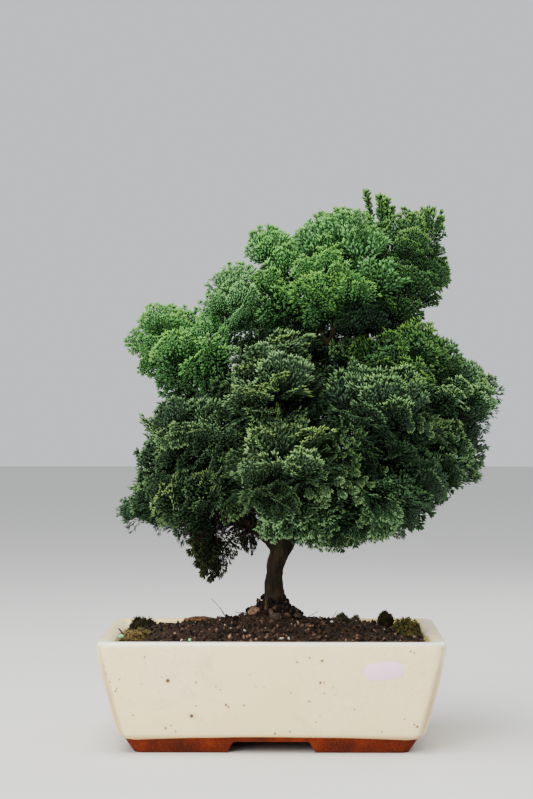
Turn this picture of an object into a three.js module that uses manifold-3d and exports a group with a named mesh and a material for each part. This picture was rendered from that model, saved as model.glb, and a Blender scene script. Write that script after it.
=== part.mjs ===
// A hinoki cypress bonsai in a cream glazed rectangular pot.
//
// Millimetres, +Z up, front towards -Y. The pot, soil, wood and foliage are laid out around the
// centre of the pot; at the end the whole plant is moved so that the origin is under the middle
// of its overall box, on the surface that the pot stands on.

import * as THREE from "three";
import { mergeVertices } from "three/addons/utils/BufferGeometryUtils.js";
import Module from "manifold-3d";

const wasm = await Module();
wasm.setup();

// ---------------------------------------------------------------- driving dimensions

const GAP = 0.3; // clearance between neighbouring pieces
const FACET_ROOM = 0.05; // more clearance where a cut follows a faceted curve
const LUMP_ROOM = 0.15; // and between the coarser facets of lumps

const POT = { halfWidth: 121, halfDepth: 87.5, height: 78, cornerRadius: 10, floor: 13 };

// The walls lean outwards: [height, how far the side wall stands in, how far the front wall does].
const OUTER_WALL = [
  [9.3, 18.5, 12.2],
  [10.6, 16, 11],
  [13.2, 13.9, 9.8],
  [19.6, 11.6, 8.4],
  [38.8, 6.7, 5],
  [50.3, 4, 3.1],
  [66.5, 1, 0.8],
  [74.4, 0, 0],
  [77.1, 0.9, 0.9],
  [78, 3, 3],
];
const INNER_WALL = [
  [13, 28, 22],
  [17, 24.5, 19],
  [40, 17, 14.5],
  [60, 11.8, 10.8],
  [76, 9.2, 9.2],
  [79, 7.2, 7.2],
];
const FOOT = { top: 12, cornerRadius: 7, bottomInset: [25.5, 15.5], topInset: [17.6, 12.2] };
const FOOT_ARCH = { height: 6.5, frontTop: 53, frontBottom: 63, sideTop: 40, sideBottom: 48 };
const DRAIN = { radius: 10, offset: 60 };
const ROUND_SIDES = 20;

const SOIL = {
  edge: 72.5, mound: 13.5, collar: 13, collarRadius: 11.5, roughness: 0.8, bury: 5, ceiling: 110,
  grid: [30, 22], // facets of its surface along the pot and across it
};

const MESH = { size: 32, thickness: 1.2, holes: 3, bar: 1.6 };
const CLIP = { wire: 0.75, legSpread: 6.9, footSpread: 15, bend: 1.4, sides: 6, segments: 22 };

const LABEL = { width: 26, height: 12, corner: 5, thickness: 0.4, tiltDeg: 4, x: 77.5, z: 58.4 };

// The wood: centre lines [x, y, z] and the radius at each point.
const TRUNK = {
  path: [[1, 0, 74], [1.5, 0, 86], [1.6, 0, 97], [2, -1, 105], [1.2, -1, 116], [2.2, 0, 126],
    [5.5, 1, 134], [10, 2, 143], [17, 4, 153], [25, 6, 168], [28, 8, 188], [26, 9, 212],
    [30, 8, 240], [38, 5, 268], [45, 0, 296], [48, -4, 322]],
  radii: [8, 9.6, 8.9, 7.4, 7.1, 6.5, 7.8, 7.1, 5.8, 5, 4.5, 4, 3.4, 2.8, 2.2, 1.4],
  bareHeight: 140,
};
const LIMBS = [
  { path: [[5, 1, 137], [-2, 1, 145.5], [-8, 1, 149], [-17, -0.5, 155], [-27, -2, 160],
    [-40, -4.5, 166], [-56, -8, 173], [-70, -10, 180]],
    radii: [6.3, 5.6, 5.2, 4.8, 4.2, 3.4, 2.5, 1.6] },
  { path: [[22, 5, 161], [30, 22, 172], [34, 42, 188], [30, 60, 202]], radii: [4, 3.4, 2.6, 1.6] },
  { path: [[24, 6, 165], [22, -14, 176], [18, -34, 188], [14, -52, 198]], radii: [3.8, 3.2, 2.4, 1.6] },
  { path: [[19, 4, 155], [40, 2, 163], [62, -8, 169], [84, -22, 177]], radii: [4.2, 3.6, 2.8, 1.7] },
  { path: [[27, 8, 200], [52, 8, 222], [80, 4, 240], [108, 2, 251], [126, 0, 255]],
    radii: [3.6, 3, 2.5, 2, 1.3] },
  { path: [[26, 9, 214], [6, 8, 238], [-22, 2, 258], [-48, -6, 275], [-62, -10, 282]],
    radii: [3.4, 3, 2.5, 1.9, 1.3] },
  { path: [[27, 8, 190], [0, 0, 206], [-28, -12, 216], [-52, -22, 224]], radii: [3, 2.6, 2, 1.3] },
  { path: [[32, 7, 248], [54, 8, 276], [78, 6, 304], [94, 4, 330]], radii: [2.8, 2.4, 2, 1.3] },
  { path: [[70, 7, 294], [75, 0, 316], [76, -4, 338], [73, -4, 364], [68.5, -3, 393]],
    radii: [1.9, 1.7, 1.5, 1.2, 0.9] },
];
const SECTION = { trunk: [10, 17], limb: 6, branch: [5, 3], root: [5, 2] }; // sides and segments
const BRANCH = {
  baseRadius: 2, tipRadius: 1.1, lift: 0.1, depthInPad: 0.72, shortest: 24, // of one branch
  firstFork: 0.1, lastFork: 0.95, forkStep: 0.05, // where it may leave a limb, as shares
};
const ROOTS = {
  count: 6, reach: 21, top: 100, knee: 94, bottom: 79, baseRadius: 4.2, tipRadius: 1.6,
  startShare: 0.1, kneeShare: 0.45, turnSpread: 0.4, reachSpread: 0.4,
};

// Foliage masses: name, centre, half sizes. Masses named first keep their whole shape, and
// later ones give way where they meet.
const FOLIAGE = [
  ["foliage_shoulder_upper_left", [-26, -4, 317], [21, 23, 24]],
  ["foliage_peak_left", [4, 4, 335], [22, 23, 33]],
  ["foliage_crown_centre", [49, -14, 340], [32, 31, 39]],
  ["foliage_crown_right", [99, 2, 344], [27, 29, 41]],
  ["foliage_shoulder_left", [-66, -12, 285], [35, 32, 28]],
  ["foliage_shoulder_right", [101, -14, 271], [32, 30, 25]],
  ["foliage_flank_right", [137, -2, 250], [26, 32, 23]],
  ["foliage_front_right", [78, -60, 232], [38, 38, 38]],
  ["foliage_front_centre", [3, -58, 258], [34, 35, 31]],
  ["foliage_flank_left", [-57, -30, 224], [36, 36, 31]],
  ["foliage_skirt_left", [-64, -14, 185], [35, 37, 28]],
  ["foliage_tip_low_left", [-96, -8, 168], [14, 14, 9]],
  ["foliage_front_low", [9, -66, 200], [38, 35, 34]],
  ["foliage_skirt_right", [85, -34, 184], [38, 38, 32]],
  ["foliage_flank_low_right", [121, 8, 211], [28, 36, 33]],
  ["foliage_fringe_centre", [20, -42, 162], [24, 26, 16]],
  ["foliage_fringe_right", [50, -24, 157], [28, 28, 18]],
  ["foliage_hanging_left", [-40, 6, 140], [25, 15, 25]],
  ["foliage_crown_back", [56, 46, 326], [35, 33, 36]],
  ["foliage_crown_back_right", [88, 50, 300], [28, 30, 29]],
  ["foliage_shoulder_back_left", [-70, 36, 278], [27, 28, 24]],
  ["foliage_peak_back", [8, 50, 298], [31, 31, 31]],
  ["foliage_back_left", [-52, 48, 227], [36, 36, 31]],
  ["foliage_back_right", [98, 66, 236], [38, 38, 36]],
  ["foliage_back_centre", [22, 80, 250], [42, 37, 38]],
  ["foliage_skirt_back_left", [-46, 50, 180], [39, 38, 30]],
  ["foliage_skirt_back", [22, 78, 188], [40, 36, 33]],
  ["foliage_skirt_back_right", [84, 54, 183], [38, 38, 31]],
  ["foliage_heart", [22, 16, 282], [46, 38, 32]],
  ["foliage_hollow_left", [-27, -12, 250], [25, 27, 24]],
  ["foliage_hollow_right", [64, -2, 258], [25, 26, 30]],
];
const PAD_SHAPE = { lobes: 9, sharpness: 2.5, crease: 0.88, detail: 2, firstSeed: 0 };
const CLOD_SHAPE = { lobes: 9, sharpness: 2.5, crease: 0.7, detail: 1, firstSeed: 40 };
const LOBE_TURN = 2.4; // radians between neighbouring lobes

// Growth and litter on the soil: name, place, half sizes.
const MOSS = [
  ["moss_right_dark", [83, 27], [6, 6, 10.5]],
  ["moss_right_green", [98, 2], [11, 30, 6]],
  ["moss_left_green", [-98, -26], [12, 18, 5]],
  ["moss_left_dark", [-97, 46], [10, 14, 7]],
  ["lichen_back", [55, 40], [9, 6, 5]],
];
const LITTER = [
  ["bark_flake", [-53, 18], [14, 7, 3.4]],
  ["tan_lump_left", [-12, -9], [6, 5, 4.5]],
  ["tan_lump_front", [3, -19], [5, 4.4, 4]],
  ["tan_lump_right", [17, -8], [4.6, 4, 3.6]],
];

// ---------------------------------------------------------------- materials

function finish(color, roughness, metalness = 0) {
  return () => new THREE.MeshStandardMaterial({ color, roughness, metalness });
}
const FINISH = {
  glaze: finish(0xe8dfcc, 0.3),
  soil: finish(0x3a2a22, 0.95),
  bark: finish(0x4a3a2e, 0.9),
  foliage: finish(0x2f6b34, 0.6),
  darkFoliage: finish(0x24401f, 0.65),
  moss: finish(0x6f7f2c, 0.95),
  lichen: finish(0x8d9484, 0.95),
  tan: finish(0x8a6a4c, 0.9),
  plastic: finish(0x1e1e1e, 0.6),
  wire: finish(0xa9a9a6, 0.4, 1),
  label: finish(0xe6d9f2, 0.55),
};

// ---------------------------------------------------------------- solids

function toSolid(geometry) {
  const bare = geometry.clone();
  bare.deleteAttribute("normal");
  bare.deleteAttribute("uv");
  const merged = mergeVertices(bare, 1e-4);
  const mesh = new wasm.Mesh({
    numProp: 3,
    vertProperties: new Float32Array(merged.attributes.position.array),
    triVerts: new Uint32Array(merged.index.array),
  });
  return new wasm.Manifold(mesh);
}

function toGeometry(solid) {
  const mesh = solid.getMesh();
  const geometry = new THREE.BufferGeometry();
  geometry.setAttribute("position", new THREE.BufferAttribute(mesh.vertProperties.slice(), 3));
  geometry.setIndex([...mesh.triVerts]);
  geometry.computeVertexNormals();
  return geometry;
}

function join(solids) {
  return solids.reduce((whole, solid) => whole.add(solid));
}

function cut(solid, tools) {
  return tools.reduce((rest, tool) => rest.subtract(tool), solid);
}

// A repeatable random number from 0 to 1 for each whole number.
function chance(n) {
  const s = Math.sin(n * 127.1 + 311.7) * 43758.5453;
  return s - Math.floor(s);
}

// Turns a cut solid into its largest connected body, so that a sliver left by a neighbour goes.
function largestBody(solid) {
  const mesh = solid.getMesh();
  const owner = Array.from({ length: mesh.vertProperties.length / 3 }, (_, i) => i);
  const find = (i) => {
    while (owner[i] !== i) {
      owner[i] = owner[owner[i]];
      i = owner[i];
    }
    return i;
  };
  const tris = mesh.triVerts;
  for (let t = 0; t < tris.length; t += 3) {
    owner[find(tris[t])] = find(tris[t + 1]);
    owner[find(tris[t + 1])] = find(tris[t + 2]);
  }
  const groups = new Map();
  for (let t = 0; t < tris.length; t += 3) {
    const key = find(tris[t]);
    if (!groups.has(key)) groups.set(key, []);
    groups.get(key).push(tris[t], tris[t + 1], tris[t + 2]);
  }
  const biggest = [...groups.values()].sort((a, b) => b.length - a.length)[0];
  const geometry = new THREE.BufferGeometry();
  geometry.setAttribute("position", new THREE.BufferAttribute(mesh.vertProperties.slice(), 3));
  geometry.setIndex(biggest);
  return toSolid(geometry);
}

// ---------------------------------------------------------------- pot

function roundedRectangle(halfX, halfY, radius) {
  const shape = new THREE.Shape();
  shape.moveTo(-halfX + radius, -halfY);
  shape.lineTo(halfX - radius, -halfY);
  shape.absarc(halfX - radius, -halfY + radius, radius, -Math.PI / 2, 0);
  shape.lineTo(halfX, halfY - radius);
  shape.absarc(halfX - radius, halfY - radius, radius, 0, Math.PI / 2);
  shape.lineTo(-halfX + radius, halfY);
  shape.absarc(-halfX + radius, halfY - radius, radius, Math.PI / 2, Math.PI);
  shape.lineTo(-halfX, -halfY + radius);
  shape.absarc(-halfX + radius, -halfY + radius, radius, Math.PI, 1.5 * Math.PI);
  return shape;
}

// A block of rounded rectangles, one at each level [height, inset at the sides, inset in front].
function loftedBlock(levels, cornerRadius, extraInset = 0) {
  const shape = roundedRectangle(POT.halfWidth, POT.halfDepth, cornerRadius);
  const steps = levels.length - 1;
  const geometry = new THREE.ExtrudeGeometry(shape, {
    depth: 1,
    steps,
    curveSegments: 3,
    bevelEnabled: false,
  });
  const place = geometry.attributes.position;
  for (let i = 0; i < place.count; i++) {
    const [height, side, front] = levels[Math.round(place.getZ(i) * steps)];
    const x = place.getX(i);
    const y = place.getY(i);
    place.setXYZ(
      i,
      x - Math.sign(x) * (side + extraInset),
      y - Math.sign(y) * (front + extraInset),
      height,
    );
  }
  return toSolid(geometry);
}

// A tunnel with sloping sides under the pot: along Y, or along X when turned.
function footArch(top, bottom, length, turned) {
  const shape = new THREE.Shape();
  shape.moveTo(-bottom / 2, 0);
  shape.lineTo(bottom / 2, 0);
  shape.lineTo(top / 2, FOOT_ARCH.height);
  shape.lineTo(-top / 2, FOOT_ARCH.height);
  const geometry = new THREE.ExtrudeGeometry(shape, { depth: length, bevelEnabled: false });
  geometry.translate(0, 0, -length / 2);
  geometry.rotateX(Math.PI / 2);
  if (turned) geometry.rotateZ(Math.PI / 2);
  // the tunnel's floor is taken below the feet, so that it is open underneath
  const place = geometry.attributes.position;
  for (let i = 0; i < place.count; i++) {
    if (place.getZ(i) < GAP) place.setZ(i, -1);
  }
  return toSolid(geometry);
}

function cylinder(radius, low, high, x, y) {
  const geometry = new THREE.CylinderGeometry(radius, radius, high - low, ROUND_SIDES);
  geometry.rotateX(Math.PI / 2);
  geometry.translate(x, y, (low + high) / 2);
  return toSolid(geometry);
}

function makePot() {
  const bowl = loftedBlock(OUTER_WALL, POT.cornerRadius);
  const foot = loftedBlock(
    [[0, ...FOOT.bottomInset], [FOOT.top, ...FOOT.topInset]],
    FOOT.cornerRadius,
  );
  const across = 2 * POT.halfWidth;
  return cut(bowl.add(foot), [
    loftedBlock(INNER_WALL, POT.cornerRadius - 2),
    footArch(FOOT_ARCH.frontTop, FOOT_ARCH.frontBottom, across, false),
    footArch(FOOT_ARCH.sideTop, FOOT_ARCH.sideBottom, across + 10, true),
    cylinder(DRAIN.radius, -1, POT.floor + 5, -DRAIN.offset, 0),
    cylinder(DRAIN.radius, -1, POT.floor + 5, DRAIN.offset, 0),
  ]);
}

// ---------------------------------------------------------------- drainage

function box(sizeX, sizeY, low, high, x, y) {
  const geometry = new THREE.BoxGeometry(sizeX, sizeY, high - low);
  geometry.translate(x, y, (low + high) / 2);
  return toSolid(geometry);
}

function makeDrainageMesh(x) {
  const low = POT.floor + GAP;
  const pitch = (MESH.size - MESH.bar) / MESH.holes;
  const openings = [];
  for (let row = 0; row < MESH.holes; row++) {
    for (let column = 0; column < MESH.holes; column++) {
      const holeX = (column - (MESH.holes - 1) / 2) * pitch;
      const holeY = (row - (MESH.holes - 1) / 2) * pitch;
      const side = pitch - MESH.bar;
      openings.push(box(side, side, low - 1, low + MESH.thickness + 1, x + holeX, holeY));
    }
  }
  return cut(box(MESH.size, MESH.size, low, low + MESH.thickness, x, 0), openings);
}

// A rod of the given radii along a smooth line through the points, with flat ends.
function rod(points, radii, sides, segments) {
  const curve = new THREE.CatmullRomCurve3(points.map((p) => new THREE.Vector3(...p)));
  const frames = curve.computeFrenetFrames(segments, false);
  const geometry = new THREE.CylinderGeometry(1, 1, 1, sides, segments);
  const place = geometry.attributes.position;
  const spot = new THREE.Vector3();
  for (let i = 0; i < place.count; i++) {
    const step = Math.round((place.getY(i) + 0.5) * segments);
    const along = (step / segments) * (radii.length - 1);
    const low = Math.min(Math.floor(along), radii.length - 2);
    const radius = THREE.MathUtils.lerp(radii[low], radii[low + 1], along - low);
    curve.getPoint(step / segments, spot);
    spot.addScaledVector(frames.normals[step], place.getX(i) * radius);
    spot.addScaledVector(frames.binormals[step], -place.getZ(i) * radius);
    place.setXYZ(i, spot.x, spot.y, spot.z);
  }
  return toSolid(geometry);
}

// A wire that crosses over the mesh, passes down through the hole and turns out under the pot.
function makeMeshClip(x, radius) {
  const top = POT.floor + 2 * GAP + MESH.thickness + CLIP.wire;
  const under = FOOT_ARCH.height - GAP - CLIP.wire;
  const { legSpread: leg, footSpread: foot, bend } = CLIP;
  const half = [[0, top], [leg - bend, top], [leg, top - bend], [leg, under + bend],
    [leg + bend, under], [foot, under]];
  const left = half.slice(1).reverse().map(([out, z]) => [x - out, 0, z]);
  const right = half.map(([out, z]) => [x + out, 0, z]);
  return rod([...left, ...right], [radius, radius], CLIP.sides, CLIP.segments);
}

// ---------------------------------------------------------------- soil

function soilHeight(x, y) {
  const acrossX = Math.min(1, Math.abs(x) / (POT.halfWidth - 10));
  const acrossY = Math.min(1, Math.abs(y) / (POT.halfDepth - 10));
  const mound = SOIL.mound * (1 - acrossX ** 2) * (1 - acrossY ** 2);
  const collar = SOIL.collar * Math.exp(-(x * x + y * y) / (2 * SOIL.collarRadius ** 2));
  const rough = SOIL.roughness * Math.sin(0.31 * x + 1.7) * Math.sin(0.27 * y + 0.4);
  return SOIL.edge + mound + collar + rough;
}

// Everything below the soil's surface, raised by lift.
function groundBelow(lift) {
  const sizeX = 2 * POT.halfWidth + 20;
  const sizeY = 2 * POT.halfDepth + 20;
  const geometry = new THREE.BoxGeometry(sizeX, sizeY, 1, ...SOIL.grid, 1);
  const place = geometry.attributes.position;
  for (let i = 0; i < place.count; i++) {
    const isTop = place.getZ(i) > 0;
    place.setZ(i, isTop ? soilHeight(place.getX(i), place.getY(i)) + lift : SOIL.bury);
  }
  return toSolid(geometry);
}

function makeSoil(others) {
  const levels = INNER_WALL.map(([height, side, front]) => [height + GAP, side, front]);
  levels[levels.length - 1][0] = SOIL.ceiling;
  const filling = loftedBlock(levels, POT.cornerRadius - 2, GAP + FACET_ROOM);
  const size = MESH.size + 2 * GAP;
  const top = POT.floor + 2 * GAP + MESH.thickness;
  const meshRoom = [-DRAIN.offset, DRAIN.offset].map((x) => box(size, size, 0, top, x, 0));
  return largestBody(cut(filling.intersect(groundBelow(0)), [...meshRoom, ...others]));
}

// ---------------------------------------------------------------- wood

function nearestOnWood(target) {
  const spot = new THREE.Vector3();
  let best = { distance: Infinity, point: null };
  for (const limb of [TRUNK, ...LIMBS]) {
    const curve = new THREE.CatmullRomCurve3(limb.path.map((p) => new THREE.Vector3(...p)));
    for (let t = BRANCH.firstFork; t < BRANCH.lastFork; t += BRANCH.forkStep) {
      curve.getPoint(t, spot);
      if (spot.z < TRUNK.bareHeight) continue;
      const tooHigh = Math.max(0, spot.z - target.z);
      const distance = spot.distanceTo(target) + tooHigh;
      if (distance < best.distance) best = { distance, point: spot.clone() };
    }
  }
  return best;
}

function branchTo(centre, extraRadius) {
  const target = new THREE.Vector3(...centre);
  const { distance, point } = nearestOnWood(target);
  if (distance < BRANCH.shortest) return null;
  const end = point.clone().lerp(target, BRANCH.depthInPad);
  const middle = point.clone().lerp(end, 0.5);
  middle.z += BRANCH.lift * point.distanceTo(end);
  const points = [point, middle, end].map((p) => p.toArray());
  const radii = [BRANCH.baseRadius, BRANCH.tipRadius].map((r) => r + extraRadius);
  return rod(points, radii, ...SECTION.branch);
}

function makeRoots(extraRadius) {
  const [stemX] = TRUNK.path[1];
  return Array.from({ length: ROOTS.count }, (_, i) => {
    const angle = ((i + ROOTS.turnSpread * chance(i)) / ROOTS.count) * 2 * Math.PI;
    const longer = (chance(i + 20) - 0.5) * ROOTS.reachSpread;
    const reach = ROOTS.reach * (1 + longer);
    const at = (share, z) => {
      const out = reach * share;
      return [stemX + Math.cos(angle) * out, Math.sin(angle) * out, z];
    };
    const points = [
      at(ROOTS.startShare, ROOTS.top),
      at(ROOTS.kneeShare, ROOTS.knee),
      at(1, ROOTS.bottom),
    ];
    const radii = [ROOTS.baseRadius, ROOTS.tipRadius].map((r) => r + extraRadius);
    return rod(points, radii, ...SECTION.root);
  });
}

function makeWood(extraRadius) {
  const grow = (limb, sides, segments) =>
    rod(limb.path, limb.radii.map((r) => r + extraRadius), sides, segments);
  const branches = FOLIAGE.map(([, centre]) => branchTo(centre, extraRadius)).filter(Boolean);
  const limbs = LIMBS.map((limb) => grow(limb, SECTION.limb, limb.path.length));
  const trunk = grow(TRUNK, ...SECTION.trunk);
  return join([trunk, ...limbs, ...branches, ...makeRoots(extraRadius)]);
}

// ---------------------------------------------------------------- foliage, moss and litter

// A rounded mass with shallow creases between its lobes, swollen on request.
function lobedMass(centre, halfSizes, number, shape, swell = 0) {
  const turn = 2 * Math.PI * chance(shape.firstSeed + number);
  const lobes = Array.from({ length: shape.lobes }, (_, i) => {
    const z = 1 - (2 * (i + 0.5)) / shape.lobes;
    const angle = LOBE_TURN * i + turn;
    const ring = Math.sqrt(1 - z * z);
    return new THREE.Vector3(ring * Math.cos(angle), ring * Math.sin(angle), z);
  });
  const geometry = new THREE.IcosahedronGeometry(1, shape.detail);
  const place = geometry.attributes.position;
  const direction = new THREE.Vector3();
  for (let i = 0; i < place.count; i++) {
    direction.fromBufferAttribute(place, i).normalize();
    const closeness = Math.max(0, ...lobes.map((lobe) => lobe.dot(direction)));
    const reach = shape.crease + (1 - shape.crease) * closeness ** shape.sharpness;
    place.setXYZ(
      i,
      centre[0] + direction.x * (halfSizes[0] * reach + swell),
      centre[1] + direction.y * (halfSizes[1] * reach + swell),
      centre[2] + direction.z * (halfSizes[2] * reach + swell),
    );
  }
  return toSolid(geometry);
}

function onSoil([x, y]) {
  return [x, y, soilHeight(x, y)];
}

// ---------------------------------------------------------------- label

function makeLabel() {
  const [low, high] = [OUTER_WALL[5], OUTER_WALL[6]];
  const lean = Math.atan2(low[2] - high[2], high[0] - low[0]);
  const share = (LABEL.z - low[0]) / (high[0] - low[0]);
  const wallY = -(POT.halfDepth - THREE.MathUtils.lerp(low[2], high[2], share));
  const shape = roundedRectangle(LABEL.width / 2, LABEL.height / 2, LABEL.corner);
  const geometry = new THREE.ExtrudeGeometry(shape, {
    depth: LABEL.thickness,
    curveSegments: 5,
    bevelEnabled: false,
  });
  geometry.rotateZ(THREE.MathUtils.degToRad(LABEL.tiltDeg));
  geometry.translate(0, 0, GAP);
  const across = new THREE.Vector3(1, 0, 0);
  const up = new THREE.Vector3(0, -Math.sin(lean), Math.cos(lean));
  const out = new THREE.Vector3(0, -Math.cos(lean), -Math.sin(lean));
  const basis = new THREE.Matrix4().makeBasis(across, up, out);
  geometry.applyMatrix4(basis.setPosition(LABEL.x, wallY, LABEL.z));
  return toSolid(geometry);
}

// ---------------------------------------------------------------- assembly

const plant = new THREE.Group();

function addPiece(name, solid, material) {
  const mesh = new THREE.Mesh(toGeometry(solid), material());
  mesh.name = name;
  plant.add(mesh);
}

const wood = makeWood(0);
const woodRoom = makeWood(GAP + FACET_ROOM);

addPiece("pot", makePot(), FINISH.glaze);

const clipRoom = [];
for (const [side, x] of [["left", -DRAIN.offset], ["right", DRAIN.offset]]) {
  addPiece(`drainage_mesh_${side}`, makeDrainageMesh(x), FINISH.plastic);
  addPiece(`mesh_clip_${side}`, makeMeshClip(x, CLIP.wire), FINISH.wire);
  clipRoom.push(makeMeshClip(x, CLIP.wire + GAP));
}
addPiece("soil", makeSoil([woodRoom, ...clipRoom]), FINISH.soil);
addPiece("trunk", wood, FINISH.bark);
addPiece("price_label", makeLabel(), FINISH.label);

const groundRoom = groundBelow(GAP);
const wallRise = 30;
const innerSpace = loftedBlock(
  INNER_WALL.map(([height, side, front], i) => [
    i < INNER_WALL.length - 2 ? height : height + wallRise, side, front,
  ]),
  POT.cornerRadius - 2,
  GAP + FACET_ROOM,
);
const litterRoom = [];
[...MOSS, ...LITTER].forEach(([name, spot, halfSizes], i) => {
  const whole = lobedMass(onSoil(spot), halfSizes, i, CLOD_SHAPE);
  const piece = cut(whole.intersect(innerSpace), [groundRoom, woodRoom, ...litterRoom]);
  litterRoom.push(lobedMass(onSoil(spot), halfSizes, i, CLOD_SHAPE, GAP + LUMP_ROOM));
  const mossLook = name.startsWith("lichen") ? FINISH.lichen : FINISH.moss;
  addPiece(name, largestBody(piece), i < MOSS.length ? mossLook : FINISH.tan);
});

const padRoom = [];
FOLIAGE.forEach(([name, centre, halfSizes], i) => {
  const whole = lobedMass(centre, halfSizes, i, PAD_SHAPE);
  const look = name === "foliage_hanging_left" ? FINISH.darkFoliage : FINISH.foliage;
  addPiece(name, largestBody(cut(whole, [woodRoom, ...padRoom])), look);
  padRoom.push(lobedMass(centre, halfSizes, i, PAD_SHAPE, GAP + LUMP_ROOM));
});

const bounds = new THREE.Box3().setFromObject(plant);
const middle = bounds.getCenter(new THREE.Vector3());
plant.children.forEach((piece) => piece.geometry.translate(-middle.x, -middle.y, -bounds.min.z));

export default plant;
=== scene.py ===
"""Looks of a hinoki cypress bonsai in a cream glazed pot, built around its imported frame.

Sizes are in millimetres around the centre of the pot, and MM turns them into metres.
"""

import math
from collections import namedtuple
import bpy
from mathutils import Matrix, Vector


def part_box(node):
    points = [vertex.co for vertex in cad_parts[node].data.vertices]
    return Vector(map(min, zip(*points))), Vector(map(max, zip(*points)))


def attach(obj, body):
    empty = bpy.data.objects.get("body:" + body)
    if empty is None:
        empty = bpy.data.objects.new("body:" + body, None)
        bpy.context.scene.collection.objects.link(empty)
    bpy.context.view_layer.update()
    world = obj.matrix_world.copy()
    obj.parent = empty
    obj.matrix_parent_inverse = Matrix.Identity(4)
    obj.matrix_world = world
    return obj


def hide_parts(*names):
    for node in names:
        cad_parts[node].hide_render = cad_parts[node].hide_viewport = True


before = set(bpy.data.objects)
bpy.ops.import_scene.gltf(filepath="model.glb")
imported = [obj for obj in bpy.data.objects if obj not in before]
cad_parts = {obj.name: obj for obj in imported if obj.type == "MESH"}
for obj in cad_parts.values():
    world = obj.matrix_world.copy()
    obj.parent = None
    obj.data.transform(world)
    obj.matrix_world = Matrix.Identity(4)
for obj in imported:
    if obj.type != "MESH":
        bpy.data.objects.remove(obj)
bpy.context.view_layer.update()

from copy import copy

import bmesh
import bpy
import numpy as np
from mathutils import Euler, Matrix, Vector, noise
from mathutils.bvhtree import BVHTree

MM = 0.001
POT_LOW, POT_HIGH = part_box("pot")
POT_CENTRE = Vector(((POT_LOW.x + POT_HIGH.x) / 2, (POT_LOW.y + POT_HIGH.y) / 2, 0))

# ------------------------------------------------------------------ sizes

CAMERA = {"place": (16.5, -1692, 251.5), "turn_left": 0.70, "tip_down": 0.23, "lens": 105.3,
          "sensor": 36}

POT = {"half_x": 121, "half_y": 87.5, "corner": 10, "foot_corner": 7}
# height, and how far the side and the front wall stand in from the widest outline
OUTER_WALL = [
    (9.3, 22, 15.5), (9.1, 20, 13.8), (9.7, 18, 12.3), (11.2, 15.8, 10.9), (13.6, 14, 9.8),
    (17, 12.6, 9.1), (22, 10.9, 7.9), (30, 8.9, 6.6), (38.8, 6.7, 5), (47, 4.7, 3.6),
    (55, 2.9, 2.2), (62, 1.6, 1.2), (68, 0.6, 0.5), (73, 0.1, 0.1), (75.5, 0, 0),
    (76.8, 0.5, 0.5), (77.6, 1.4, 1.4), (78, 2.8, 2.8),
]
INNER_WALL = [
    (77.9, 6.2, 6.2), (77.2, 8.4, 7.9), (75.6, 10.4, 8.9), (72, 12.8, 9.6), (60, 14.8, 10.8),
    (40, 18.5, 14.5), (17, 24.5, 19), (13, 28, 22),
]
FOOT_WALL = [(0, 25.5, 15.5), (0.8, 24.9, 15.2), (11.2, 18.1, 12.1)]
ARCH = {"height": 7.8, "front": (53, 63, 100), "side": (40, 48, 130), "below": -1.5, "round": 1.6}
DRAIN = {"radius": 10, "offset": 60, "low": -5, "high": 20}
# the lower edge of the glaze: where it starts to sag, what it leaves out, its swing and its drips
SAG = {"below": 22, "inner": (60, 50), "half": 95, "rise": 3.0, "drop": 0.5, "drip": 31}


def place(x, y, z):
    """A point given in millimetres around the pot's centre, in metres in the row frame."""
    return POT_CENTRE + Vector((x, y, z)) * MM


# ------------------------------------------------------------------ shader helpers


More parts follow.
